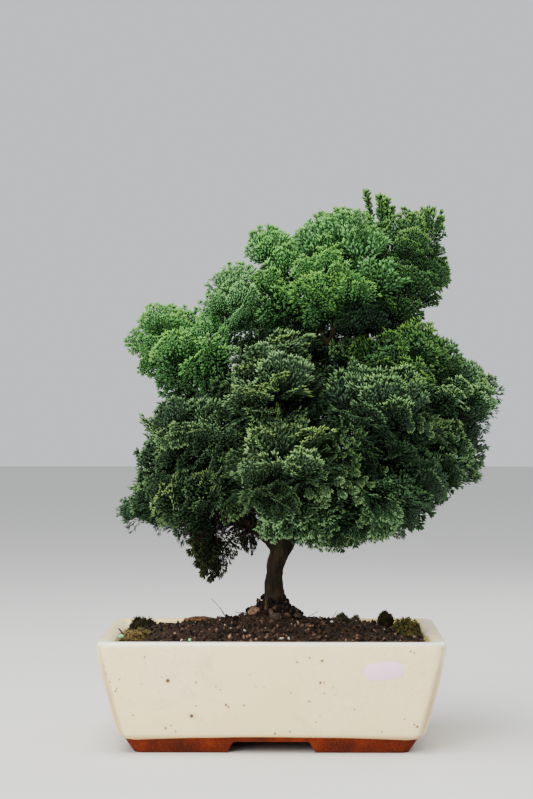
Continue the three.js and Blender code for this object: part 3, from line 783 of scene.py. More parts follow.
def moss_mound(growth, centre, half, lumpy_share, seed):
    """The mound under a cushion's shoots, near black: partly the cushion's own dark base, partly
    painted shade deep among the shoots.
    """
    bm = bmesh.new()
    bmesh.ops.create_icosphere(bm, subdivisions=4, radius=1)
    ground = soil_height(*centre) - MOUND["sink"]
    for v in bm.verts:
        x, y = v.co.x * half[0] * MOUND["width"], v.co.y * half[1] * MOUND["width"]
        above = v.co.z > 0
        lift = mat_height(x, y, half, lumpy_share, seed) if above else MOUND["below"]
        v.co = (centre[0] + x, centre[1] + y, ground + lift * MOUND["height"])
    points, faces = arrays_of(bm)
    speckle = np.mod((points * MM + np.array(POT_CENTRE))[:, :2] * (900, 700), 1)
    # painted shade: the mound takes the darkest foot of the moss ramp
    growth.add(points[None], faces, ((0.05, 0) + speckle * (0.1, 1))[None])


def moss_mat(node, centre, half, lumpy_share, blade, count, seed):
    """A cushion of short pointed shoots over a dark mound."""
    dice = np.random.default_rng(seed)
    growth = Growth()
    moss_mound(growth, centre, half, lumpy_share, seed)
    points, faces = unit_spike(0.34, 0)
    points[:, 2] += 0.5
    angle, out = dice.uniform(0, 2 * math.pi, count), np.sqrt(dice.random(count)) * 0.97
    x, y = np.cos(angle) * out * half[0], np.sin(angle) * out * half[1]
    z = np.array([mat_height(a, b, half, lumpy_share, seed) for a, b in zip(x, y)])
    up = np.stack([x / half[0] ** 1.2, y / half[1] ** 1.2, np.full(count, 0.6)], -1)
    up += dice.normal(0, 0.45, (count, 3))
    turn = frames_along(up, dice.normal(0, 1, (count, 3)))
    size = blade * dice.uniform(0.6, 1.25, count)
    wide = dice.uniform(0.7, 1.2, count)
    shape = np.stack([wide, wide, size], -1)
    made = np.einsum("cij,cpj->cpi", turn, points[None] * shape[:, None])
    ground = soil_height(*centre) - MOUND["shoot_sink"]
    root = np.stack([x + centre[0], y + centre[1], z * MOUND["height"] + ground], -1)
    marks = np.empty((count, len(points), 2))
    marks[..., 0] = 0.15 + 0.8 * points[None, :, 2] * dice.uniform(0.7, 1, count)[:, None]
    marks[..., 1] = dice.uniform(0.03, 0.97, count)[:, None] + 0.03 * points[None, :, 0]
    growth.add(made + root[:, None], faces, marks)
    return growth.mesh(node)


def moss_finish(name, low, middle, high, warm):
    moss = Finish(name, Roughness=0.9, Specular_IOR_Level=0.15)
    u, v = moss.uv()
    body = moss.ramp(u, (0.0, low), (0.45, middle), (1.0, high))
    moss.colour(moss.tinted(body, moss.span(v, 0.45, 1.0), 0.75, warm))
    return moss


MOSS_TONES = {  # name: foot, middle and tip of a shoot, and the brown of the driest
    "moss_dark": ((9, 8, 4), (26, 27, 11), (78, 80, 34), (56, 38, 20)),
    "moss_green": ((11, 11, 5), (54, 57, 24), (168, 168, 92), (100, 76, 44)),
    "moss_tan": ((16, 13, 7), (72, 62, 30), (206, 188, 116), (112, 80, 46)),
    "lichen": ((22, 25, 17), (58, 64, 38), (150, 156, 112), (88, 68, 46)),
}
MOSS_FINISHES = {name: moss_finish(name, *tones) for name, tones in MOSS_TONES.items()}

for seed, (node, (centre, half, lumps, tone, blade, count)) in enumerate(MOSS.items(), 11):
    mat = moss_mat(node, centre, half, lumps, blade, count, seed)
    finish_piece(node, mat, MOSS_FINISHES[tone], node)


def litter_shape(node, smoothing, size, height):
    """A CAD node's shape with a finer skin, pushed in and out in lumps of about this size."""
    bm = cad_mesh(node)
    bmesh.ops.subdivide_edges(bm, edges=bm.edges, cuts=4, use_grid_fill=True)
    bmesh.ops.triangulate(bm, faces=bm.faces)
    weathered(bm, smoothing, lambda at: height * (noise.noise(at / size)
                                                  + 0.5 * noise.noise(at / (size * 0.45))))
    return mesh_from(bm, node)


def litter_finish(name, low, middle, high, scale):
    litter = Finish(name, Roughness=0.9)
    body = litter.ramp(litter.noise(scale, 6, 0.7), (0.3, low), (0.5, middle), (0.72, high))
    litter.colour(body)
    litter.bump(litter.noise(scale * 3, 4), 0.7, 0.7)
    return litter


FLAKE_FINISH = litter_finish("bark_flake", (44, 28, 18), (98, 62, 36), (150, 106, 66), 260)
LUMP_FINISH = litter_finish("tan_clay_lump", (40, 29, 21), (98, 74, 54), (156, 124, 94), 300)
DARK_LUMP_FINISH = litter_finish("brown_clay_lump", (20, 15, 11), (44, 33, 25), (96, 74, 56), 340)
LITTER = {  # node: finish, rounds of smoothing, size and height of its lumps, smooth angle
    "bark_flake": (FLAKE_FINISH, 2, 3, 0.7, 40), "tan_lump_left": (LUMP_FINISH, 1, 2.2, 0.8, 60),
    "tan_lump_front": (DARK_LUMP_FINISH, 1, 2.2, 0.8, 60),
    "tan_lump_right": (DARK_LUMP_FINISH, 1, 2.2, 0.8, 60),
}
for node, (finish, smoothing, size, height, smooth_angle) in LITTER.items():
    finish_piece(node, litter_shape(node, smoothing, size, height), finish, node,
                 smooth_angle)


# ------------------------------------------------------------------ label, meshes and clips

# walls: height, side inset, front inset
LABEL = {"half_x": 13, "half_y": 6, "corner": 4.9, "cuts": 5,
         "walls": [(-0.17, 0.1, 0.1), (-0.07, 0, 0), (0.1, 0, 0), (0.2, 0.15, 0.15)]}


def label_piece():
    """A small blank paper label with round ends, lying on the wall where the CAD label lies."""
    corners = np.array([v.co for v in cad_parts["price_label"].data.vertices])
    middle = (corners.max(0) + corners.min(0)) / 2
    spread, axes = np.linalg.eigh(np.cov((corners - middle).T))
    thin, _, wide = axes.T[np.argsort(spread)]
    out = thin * (1 if thin[1] < 0 else -1)
    wide = wide * (1 if wide[0] > 0 else -1)
    up = np.cross(out, wide)
    bm = walled_shape(**LABEL)
    turned = Matrix((wide, up, out)).transposed().to_4x4()
    bmesh.ops.transform(bm, matrix=Matrix.Translation(middle) @ turned, verts=bm.verts)
    return mesh_from(bm, "price_label")


def paper_finish():
    """Pale lilac paper, a little mottled."""
    paper = Finish("lilac_paper", Roughness=0.6)
    body = paper.ramp(paper.noise(130, 4), (0.3, (255, 216, 238)), (0.7, (255, 230, 246)))
    fibre = paper.span(paper.noise(900, 3), 0.55, 0.8)
    paper.colour(paper.tinted(body, fibre, 0.2, (230, 210, 236)))
    paper.bump(paper.noise(800, 4), 0.25, 0.2)
    return paper


def plastic_finish():
    mesh = Finish("black_plastic", Roughness=0.55)
    dusty = mesh.span(mesh.noise(220, 5), 0.45, 0.75)
    mesh.colour(mesh.tinted((16, 16, 16), dusty, 0.6, (70, 58, 46)))
    mesh.bump(mesh.noise(900, 3), 0.3, 0.2)
    return mesh


def wire_finish():
    wire = Finish("aluminium_wire", Roughness=0.4, Metallic=0.9)
    dull = wire.span(wire.noise(300, 5), 0.4, 0.7)
    wire.colour(wire.mix(dull, (186, 184, 178), (120, 112, 100)))
    wire.bump(wire.noise(1200, 3), 0.3, 0.1)
    return wire


finish_piece("price_label", label_piece(), paper_finish(), "price_label",
             smooth_angle=40)

UNDERSIDE = {"drainage_mesh": plastic_finish(), "mesh_clip": wire_finish()}
for kind, finish in UNDERSIDE.items():
    for side in ("left", "right"):
        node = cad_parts[f"{kind}_{side}"]
        node.data.materials.clear()
        node.data.materials.append(finish.material)


# ------------------------------------------------------------------ trunk and branches

# size of the skin's cells, rounds of smoothing, share of faces kept, height of the thin bark
TRUNK = {"voxel": 0.9, "smoothing": 3, "kept": 0.35, "thin_above": 160}


def bark_push(at):
    """Fissures and flakes of bark: long up the stem, short across it, in millimetres."""
    around = Vector((at.x, at.y, at.z * 0.3))
    thick = 1 if at.z < TRUNK["thin_above"] else 0.5
    fissure = 1.5 * min(0.35, abs(noise.noise(around / 3.4))) - 0.1
    flake = 0.4 * noise.noise(around / 1.3)
    swell = 0.7 * noise.noise(at / 9)
    return thick * (fissure + flake + swell)


def trunk_wood():
    """The wood with a rough bark, from the CAD shape."""
    skin = applied(mesh_from(cad_mesh("trunk"), "trunk"), "REMESH", mode="VOXEL",
                   voxel_size=TRUNK["voxel"] * MM, adaptivity=0.0)
    bm = bmesh.new()
    bm.from_mesh(skin)
    centre = Vector(np.array(POT_CENTRE) / MM)
    weathered(bm, TRUNK["smoothing"], lambda at: bark_push(at - centre))
    return applied(mesh_from(bm, "trunk"), "DECIMATE", ratio=TRUNK["kept"])


def bark_finish():
    """Grey-brown bark with dark fissures and rusty new flakes."""
    bark = Finish("bark", Roughness=0.95, Specular_IOR_Level=0.2)
    grain = bark.place((1, 1, 0.28))
    body = bark.ramp(
        bark.noise(330, 6, 0.7, vector=grain),
        (0.28, (8, 6, 3)), (0.45, (19, 14, 8)), (0.58, (32, 24, 15)), (0.76, (62, 48, 31)),
    )
    body = bark.tinted(body, bark.span(bark.noise(90, 4), 0.5, 0.7), 0.4, (48, 28, 18))
    body = bark.tinted(body, bark.span(bark.noise(60, 4), 0.5, 0.68), 0.5, (50, 50, 28))
    bark.colour(body)
    bark.bump(bark.noise(520, 6, 0.7, vector=grain), 0.8, 0.8)
    return bark


finish_piece("trunk", trunk_wood(), bark_finish(), "trunk", smooth_angle=55)


# ------------------------------------------------------------------ foliage

KITE_WAIST = 0.66  # where a leaflet is widest, as a share of its length
LEAFLET_LENGTH = (4.0, 5.6)
OVERLAP = 1.18  # a leaflet's length for each step between leaflets
# lengths and widths in millimetres, angles in degrees
SPRAY = {"length": 24.0, "variants": 8, "shoots": 7, "width": 1.8, "thick": 0.45, "lean": (30, 42),
         "steps": 4, "stub": 5.0, "gap": 3.6, "tips": (4.4, 6.2)}
FAN = {"length": 28.0, "variants": 12, "ribs": 8, "step": 3.5, "end": 3.5, "tips": (3.6, 5.4)}
PLUME = {"length": 26.0, "step": 0.75, "end": 2.5, "tip": 3.2}
OLD_SPRAY = {"leaflets": 12, "half_angle": 60, "lengths": (7, 10), "width": 3.6, "depth": 2.5}


def unit_leaflet():
    """A scale-leaved branch tip, one unit long along y: pointed, ridged, widest past its middle."""
    points, faces = unit_spike(1, 0)
    kite = {"base": (0, 0, 0), "left": (-0.5, KITE_WAIST, -0.35), "right": (0.5, KITE_WAIST, -0.35),
            "tip": (0, 1, 0)}
    corners = sorted(range(4), key=lambda i: (points[i, 2], math.atan2(points[i, 1], points[i, 0])))
    shaped = np.empty((4, 3))
    for corner, name in zip(corners, ("left", "right", "base", "tip")):
        shaped[corner] = kite[name]
    a, b, c = (shaped[i] for i in faces[0])
    if np.dot(np.cross(b - a, c - a), a + b + c - 3 * shaped.mean(0)) < 0:
        faces = faces[:, ::-1]
    return shaped, faces


LEAFLET, LEAFLET_FACES = unit_leaflet()


class Leafage:
    """Leaflets gathered into one small shape that grows along y, each with its own span of the
    finish's ramp.
    """

    def __init__(self, seed, length, leaf=1.0):
        self.dice = np.random.default_rng(seed)
        self.length, self.leaf = length, leaf
        self.corners, self.marks = [], []

    def leaflet(self, at, angle, long, lift, age_low, age_high, wide=SPRAY["width"]):
        """Adds one leaflet and returns the point where it ends."""
        turn = math.radians(angle)
        along = np.array([math.sin(turn), math.cos(turn), lift])
        along /= np.linalg.norm(along)
        roll = self.dice.normal(0, 0.35)
        across = np.array([math.cos(turn), -math.sin(turn), math.sin(roll)])
        across /= np.linalg.norm(across)
        face = np.cross(across, along)
        wide = wide * self.leaf * self.dice.uniform(0.85, 1.15)
        size = long * OVERLAP
        made = (at + np.outer(LEAFLET[:, 1] * size, along) + np.outer(LEAFLET[:, 0] * wide, across)
                + np.outer(LEAFLET[:, 2] * SPRAY["thick"] * 2, face))
        self.corners.append(made)
        u = age_low + (min(age_high, 1.0) - age_low) * LEAFLET[:, 1]
        self.marks.append(np.stack([u, LEAFLET[:, 0] * 0.05], -1))
        return at + along * long

    def gather(self):
        """Joins the leaflets made so far into one set of points, marks and faces."""
        self.points = np.concatenate(self.corners)
        self.uv = np.concatenate(self.marks)
        count = len(self.corners)
        self.faces = (LEAFLET_FACES[None] + 4 * np.arange(count)[:, None, None]).reshape(-1, 3)

    def cup(self, bend, curl):
        """Bends the shape's tip and its sides out of its plane."""
        along = self.points[:, 1] / self.length
        across = self.points[:, 0] / self.length
        self.points[:, 2] += self.length * (bend * along ** 2 + curl * across ** 2)


class Spray(Leafage):
    """One flat, fan-shaped branchlet spray, made of leaflets in chains that fork left and right."""

    def __init__(self, seed, width=1.0, length=SPRAY["length"], shoots=SPRAY["shoots"], leaf=1.0,
                 short=1.0):
        super().__init__(seed, length, leaf)
        self.short = short
        side = 1 if self.dice.random() < 0.5 else -1
        self.stem()
        for i in range(shoots):
            share = 0.1 + 0.8 * i / (shoots - 1) + self.dice.uniform(-0.03, 0.03)
            reach = (length * (1 - share) * 0.88 + 3.2) * self.dice.uniform(0.85, 1.12)
            lean = side * self.dice.uniform(*SPRAY["lean"]) * width
            lift = self.dice.normal(0, 0.10)
            root = np.array([0, share * length, 0])
            self.side_shoot(root, lean, reach * (0.6 + 0.4 * width), lift, share)
            side = -side
        self.gather()
        self.cup(self.dice.uniform(0.05, 0.28), self.dice.uniform(-0.25, 0.15))

    def stem(self):
        """The middle stalk, a little crooked, which pales towards its tip."""
        at, angle, steps = np.zeros(3), 0, SPRAY["steps"]
        for i in range(steps):
            low = 0.08 + 0.92 * i / steps
            high = 1.0 if i == steps - 1 else low * 0.8 + 0.1
            at = self.leaflet(at, angle, self.length / steps, 0, low * 0.6, high)
            angle += self.dice.normal(0, 5)

    def side_shoot(self, root, lean, reach, lift, share):
        """A dark flat stalk that ends in a few short pale tips."""
        stalk = max(0.0, reach - SPRAY["stub"])
        at = root
        if stalk > 2:
            at = self.leaflet(at, lean, stalk, lift, 0.15 + 0.3 * share, 0.5, wide=2.0)
            steps = max(1, round(stalk / (SPRAY["gap"] * self.short)))
            for i in range(steps):
                start = root + (at - root) * (i + self.dice.uniform(0.3, 0.9)) / steps
                turn = (-1) ** i * self.dice.uniform(22, 34)
                old = share + (1 - share) * i / steps
                long = self.dice.uniform(*LEAFLET_LENGTH) * self.short
                self.leaflet(start, lean + turn, long, lift, 0.2, 0.5 + 0.35 * old)
        for turn in (-1, 0, 1):
            if turn == 0 or self.dice.random() < 0.75:
                fork = lean * 0.85 + turn * self.dice.uniform(18, 32)
                long = self.dice.uniform(*SPRAY["tips"]) * self.short
                self.leaflet(at, fork, long, lift, 0.4, 1.0)


class Fan(Leafage):
    """Branchlets side by side from one foot, dense as a scallop shell, with a frilled rim."""

    def __init__(self, seed, half_angle, leaf=1.0):
        super().__init__(seed, FAN["length"], leaf)
        ribs = round(FAN["ribs"] / leaf)
        for k in range(ribs):
            angle = half_angle * (2 * (k + 0.5) / ribs - 1) + self.dice.normal(0, 2.5)
            reach = self.length * (1 - 0.2 * (angle / half_angle) ** 2)
            self.rib(angle, reach * self.dice.uniform(0.82, 1.04), 0.3 if k % 2 else 0.45)
        self.gather()
        self.cup(self.dice.uniform(-0.2, 0.15), self.dice.uniform(-0.5, -0.05))

    def rib(self, angle, reach, start):
        """A stalk with leaflets on both sides and a splayed end."""
        turn = math.radians(angle)
        along = np.array([math.sin(turn), math.cos(turn), 0])
        rise = np.array([0, 0, self.dice.normal(0, 0.7)])
        at, side = start * reach, 1
        self.leaflet(along * 0.15 * reach + rise, angle, 0.75 * reach, 0, 0.05, 0.4, wide=1.7)
        end = reach - FAN["end"] * self.leaf
        while at < end:
            share = at / self.length
            lean = angle + side * self.dice.uniform(20, 36)
            self.leaflet(along * at + rise, lean, self.dice.uniform(*LEAFLET_LENGTH) * self.leaf,
                         self.dice.normal(0.12, 0.24), 0.02 + 0.14 * share,
                         0.26 + 0.54 * share + self.dice.uniform(0, 0.3))
            side = -side
            at += FAN["step"] * self.leaf * self.dice.uniform(0.4, 0.6)
        for fork in (-40, -14, 14, 40):
            self.leaflet(along * end + rise, angle + fork + self.dice.normal(0, 5),
                         self.dice.uniform(*FAN["tips"]) * self.leaf, self.dice.normal(0.1, 0.2),
                         0.36, 1.04)


class Plume(Leafage):
    """A slim shoot wrapped all round in short overlapping leaflets, blunt at its tip."""

    def __init__(self, seed):
        length = PLUME["length"]
        super().__init__(seed, length)
        self.leaflet(np.zeros(3), 0, length * 0.9, 0, 0.1, 0.4, wide=2.4)
        at, side = 0.0, 1
        while at < length - PLUME["end"]:
            share = at / length
            self.leaflet(np.array([0, at, 0]), side * self.dice.uniform(16, 52),
                         self.dice.uniform(3.4, 4.6), self.dice.uniform(-0.8, 0.8),
                         0.3 + 0.2 * share, 0.6 + 0.3 * share + self.dice.uniform(-0.2, 0.2), 2.0)
            side = -side
            at += PLUME["step"]
        for fork in (-34, -10, 10, 34):
            self.leaflet(np.array([0, length - 3, 0]), fork, PLUME["tip"], self.dice.normal(0, 0.3),
                         0.5, 1.0, wide=2.2)
        self.gather()
        self.cup(self.dice.uniform(-0.1, 0.1), 0)


class OldSpray(Leafage):
    """A coarse brown-green spray from the shaded inside of the plant."""

    def __init__(self, seed):
        super().__init__(seed, SPRAY["length"])
        half_angle = OLD_SPRAY["half_angle"]
        for _ in range(OLD_SPRAY["leaflets"]):
            angle = self.dice.uniform(-half_angle, half_angle)
            start = np.array([self.dice.normal(0, 1.5), self.dice.uniform(0, 15), 0])
            self.leaflet(start, angle, self.dice.uniform(*OLD_SPRAY["lengths"]),
                         self.dice.normal(0, 0.5), 0.0, 0.3, wide=OLD_SPRAY["width"])
        self.gather()
        self.points[:, 2] *= OLD_SPRAY["depth"]


SPRAYS = [Spray(100 + i) for i in range(SPRAY["variants"])]
LOOSE_SPRAYS = [Spray(110 + i, shoots=8, leaf=0.7) for i in range(SPRAY["variants"])]
FANS = [Fan(120 + i, 36 + 2 * i) for i in range(FAN["variants"])]
FINE_FANS = [Fan(140 + i, 38 + 2 * i, leaf=0.8) for i in range(FAN["variants"])]
OLD_SPRAYS = [OldSpray(150 + i) for i in range(4)]
LEADERS = [Plume(200 + i) for i in range(4)]
FINGERS = [Spray(190 + i, width=1.1, length=33, shoots=11, leaf=0.62, short=0.65) for i in range(4)]
HANGERS = [Spray(180 + i, length=26, shoots=8, leaf=1.3, short=0.8) for i in range(4)]


def place_sprays(growth, sprays, roots, along, faces_to, sizes, ages_and_light, tints, dice):
    """Copies sprays to their roots, pointing along and facing faces_to."""
    third = faces_to / np.linalg.norm(faces_to, axis=-1, keepdims=True)
    second = along / np.linalg.norm(along, axis=-1, keepdims=True)
    first = np.cross(second, third)
    first /= np.linalg.norm(first, axis=-1, keepdims=True)
    third = np.cross(first, second)
    turn = np.stack([first, second, third], -1)
    kind = dice.integers(0, len(sprays), len(roots))
    for k, spray in enumerate(sprays):
        mine = np.flatnonzero(kind == k)
        if not len(mine):
            continue
        made = np.einsum("cij,pj->cpi", turn[mine], spray.points) * sizes[mine, None, None]
        marks = np.broadcast_to(spray.uv, (len(mine), *spray.uv.shape)).copy()
        # how far along the finish's ramp a spray reaches carries both how old it is and its painted
        # light
        marks[..., 0] = 0.1 + 0.88 * marks[..., 0] * ages_and_light[mine, None]
        marks[..., 1] += tints[mine, None]
        growth.add(made + roots[mine, None], spray.faces, marks)


# points on each mass and the rays from each that look for open air, with their reach and spread
SIGHT = {"samples": 420, "rays": 9, "reach": 45, "start": 1.5, "spread": 0.55}


class Canopy:
    """All the foliage masses together, to tell which parts of each one lie open to the air."""

    def __init__(self, nodes):
        self.trees, self.samples = {}, {}
        for node in nodes:
            bm = cad_mesh(node)
            bmesh.ops.transform(bm, matrix=Matrix.Translation(-POT_CENTRE), verts=bm.verts)
            bmesh.ops.scale(bm, vec=(1 / MM,) * 3, verts=bm.verts)
            bmesh.ops.triangulate(bm, faces=bm.faces)
            self.trees[node] = BVHTree.FromBMesh(bm)
            self.samples[node] = self.scatter(bm, np.random.default_rng(len(node)))
            bm.free()

    @staticmethod
    def scatter(bm, dice):
        """Points and normals spread evenly over a surface."""
        areas = np.array([f.calc_area() for f in bm.faces])
        chosen = dice.choice(len(areas), SIGHT["samples"], p=areas / areas.sum())
        bm.faces.ensure_lookup_table()
        points, normals = [], []
        for i in chosen:
            a, b, c = (np.array(v.co) for v in bm.faces[i].verts)
            s, t = dice.random(2)
            if s + t > 1:
                s, t = 1 - s, 1 - t
            points.append(a + s * (b - a) + t * (c - a))
            normals.append(np.array(bm.faces[i].normal))
        return np.array(points), np.array(normals)

    def on_front(self, node, x, z):
        """Where a line from the front meets a mass, or else the mass's nearest point to it."""
        hit = self.trees[node].ray_cast(Vector((x, -200, z)), Vector((0, 1, 0)))[0]
        if hit is None:
            middle = middle_and_half(node)[0]
            hit = self.trees[node].find_nearest(Vector((x, middle[1], z)))[0]
            hit = Vector((x, hit[1], z))
        return np.array(hit)

    def openness(self, point, normal, dice):
        """The share of rays from a surface point that leave the plant."""
        free = 0
        start = Vector(point + normal * SIGHT["start"])
        for _ in range(SIGHT["rays"]):
            ray = Vector(normal + dice.normal(0, SIGHT["spread"], 3)).normalized()
            free += not any(tree.ray_cast(start, ray, SIGHT["reach"])[0]
                            for tree in self.trees.values())
        return free / SIGHT["rays"]


def spread_poles(points, candidates, spacing):
    """Those of the candidates that stand about spacing apart, chosen furthest first."""
    if not len(candidates):
        return []
    poles = [candidates[0]]
    gaps = np.linalg.norm(points[candidates] - points[poles[0]], axis=1)
    while gaps.max() > spacing:
        poles.append(candidates[gaps.argmax()])
        gaps = np.minimum(gaps, np.linalg.norm(points[candidates] - points[poles[-1]], axis=1))
    return poles


UP = np.array([0, 0, 1.0])
STEM = np.array([26, 6, 0.0])
# tufts: spacing, lift of the sunny ones, spacing at the back, length, light below which none grows
GROWTH = {"spacing": 16.0, "relief": 14.0, "far": 1.15, "tuft": 25.0, "least_light": 0.02}
# clumps of tufts: spacing, radius, and the strength of their painted light and shade: tops paler,
# creases and lower parts darker
CLUMP = {"spacing": 29.0, "radius": 17.0, "shade": 0.5}
OLD = {"number": 34, "half": 33, "age_and_light": 0.35}  # old sprays in a mass of this half size, and how far along the finish's ramp they reach: low, dark for being old and with painted shade
SUNNY = (  # spots of painted light, where the canopy is paler and stands out, or, below 0, of painted shade, where it is darker and sinks: middle, reach, amount
    ((52, -95, 185), 24, 0.1), ((-28, -50, 175), 16, 0.3), ((6, -90, 229), 19, 0.6),
    ((11, -90, 280), 17, 0.6), ((77, -95, 264), 21, 0.25), ((41, -44, 334), 22, 0.4),
    ((-78, -50, 243), 18, 0.25), ((-34, -60, 227), 15, 0.55), ((25, -90, 212), 13, 0.5),
    ((8, -66, 156), 20, 1.2), ((78, -45, 160), 18, 0.7), ((-60, -38, 306), 22, 0.1),
    ((-84, -38, 288), 18, 0.1), ((100, -40, 290), 16, 0.3), ((140, -30, 262), 18, 0.25),
    ((-19, -85, 254), 13, 0.4), ((30, -45, 340), 18, 0.25), ((-9, -24, 303), 20, -0.45),
    ((30, -30, 296), 26, -0.6), ((88, -74, 213), 22, -0.3), ((-38, -60, 239), 14, -0.55),
    ((-75, -30, 255), 16, -0.45), ((-22, -70, 220), 11, -0.5), ((2, -80, 186), 13, -0.5),
    ((38, -90, 193), 12, -0.5), ((92, -60, 196), 18, -0.5), ((100, -60, 243), 11, -0.5),
    ((52, -50, 277), 13, -0.5), ((35, -60, 268), 13, -0.4), ((-42, -30, 171), 13, -0.4),
    ((112, -34, 228), 12, -0.35), ((142, -10, 216), 18, 0.5), ((64, -30, 312), 16, -0.3),
    ((92, -45, 282), 24, 0.2), ((4, -85, 254), 24, 0.45), ((47, -60, 156), 24, 0.35),
    ((-90, -35, 222), 16, 0.4), ((-42, -35, 274), 18, -0.5), ((-62, -40, 262), 16, -0.35),
)
Habit = namedtuple("Habit", "lift fans loose dome kinds old sink droop swing",
                   defaults=(FANS, 1.0, 0, 0, 0.5))
HABITS = {  # lift of the tufts, fans and loose sprays a tuft, height of the clumps
    "crown": Habit(1.0, 2, 0, 5.5, FINE_FANS),
    "smooth": Habit(1.0, 2, 0, 5.5),
    "full": Habit(0.8, 2, 1, 7.5),
    "inner": Habit(0.8, 1, 1, 7.5),
    "low": Habit(0.8, 2, 1, 4.0, sink=12.0, droop=0.5, swing=0.3),
    "drooping": Habit(0.1, 2, 1, 3.0, old=0.8, sink=6.0, droop=1.0, swing=0.3),
}


def tuft(growth, tip, axis, facing, size, habit, light, clump_tone, dice):
    """Fans of sprays one behind the other like shingles, broad side outwards, and loose sprays."""
    side = np.cross(axis, facing)
    side /= np.linalg.norm(side)
    out = np.cross(side, axis)
    root = tip - axis * size
    for kinds, number, spread, lean in ((habit.kinds, habit.fans, 0.22, 0.12),
                                        (LOOSE_SPRAYS, habit.loose, habit.swing, 0.35)):
        if not number:
            continue
        depth = np.arange(number) - (number - 1) / 2
        swing = dice.normal(0, spread, number)
        tilt = lean + dice.normal(0, 0.16, number)
        along = axis + swing[:, None] * side + tilt[:, None] * out
        along /= np.linalg.norm(along, axis=1, keepdims=True)
        faces_to = out + dice.normal(0, 0.3, (number, 3))
        lengths = size * dice.uniform(0.85, 1.1, number)
        # painted light: sprays that point up and lie open reach the pale end of the ramp, shaded ones
        # stay dark
        top_lit = np.clip(0.72 + 0.35 * along[:, 2], 0.45, 1) * (0.5 + 0.5 * light)
        ages_and_light = np.clip(top_lit * dice.uniform(0.88, 1.0, number), 0.2, 1.0)
        # painted light: lit tufts that point up lean to the warm tint
        tone = 0.36 + 0.36 * axis[2] * light + clump_tone + dice.normal(0, 0.08, number)
        roots = (root + depth[:, None] * (2.5 * out - 3.0 * axis)
                 + dice.normal(0, 1.0, (number, 3)))
        place_sprays(growth, kinds, roots, along, faces_to, lengths / kinds[0].length, ages_and_light,
                     np.clip(tone, 0.03, 0.97), dice)
    return root


def twig(growth, start, end, thick, dice):
    """A thin crooked twig from start to end."""
    way = [start + (end - start) * t + dice.normal(0, 1.2, 3) * (0 < t < 1) for t in (0, 0.5, 1)]
    growth.add_rod(way, thick, 0.6, (1, 0.4), (0.02, 0.5), (0.03, 0.4), dice)


def old_sprays(growth, middle, half, share, dice):
    """Coarse sprays inside a foliage mass, behind the fresh ones, dark partly for being old and
    partly with painted shade.
    """
    number = round(OLD["number"] * share * (half.prod() ** (1 / 3) / OLD["half"]) ** 2)
    if number:
        out = dice.normal(0, 1, (number, 3))
        out /= np.linalg.norm(out, axis=1, keepdims=True)
        roots = middle + out * half * dice.uniform(0.0, 0.35, (number, 1))
        place_sprays(growth, OLD_SPRAYS, roots, out, dice.normal(0, 1, (number, 3)),
                     dice.uniform(0.5, 0.85, number) * half.min() / OLD["half"],
                     np.full(number, OLD["age_and_light"]), dice.uniform(0.1, 0.9, number), dice)


def sunny(point):
    """How much painted light a point gets and how far it stands out, above 1, or how much painted
    shade and how far it sinks, below 1.
    """
    share = 1.0
    for middle, reach, amount in SUNNY:
        away = np.linalg.norm((point - middle) * (1, 0.7, 1)) / reach
        share *= 1 + amount * math.exp(-away ** 2)
    return share


def away_from_stem(point):
    away = (point - STEM) * (1, 1, 0)
    return away / np.linalg.norm(away)


def facing_of(point, normal):
    """The way a tuft shows its broad side: out of its mass and away from the middle plane."""
    face = normal * (1, 1, 0.4)
    face[1] += math.copysign(0.6, point[1] - STEM[1])
    return face


def tuft_axis(point, normal, lift, droop, dice):
    """The way a tuft grows: up, away from the stem and out of its mass, or down below it."""
    rising = min(1.0, max(0.2, (normal[2] + 0.9) / 0.6)) * lift - droop * max(0.0, -normal[2])
    axis = 0.45 * normal * (1, 1, 0.5) + 0.6 * away_from_stem(point) + rising * UP
    axis += dice.normal(0, 0.13, 3)
    return axis / np.linalg.norm(axis)


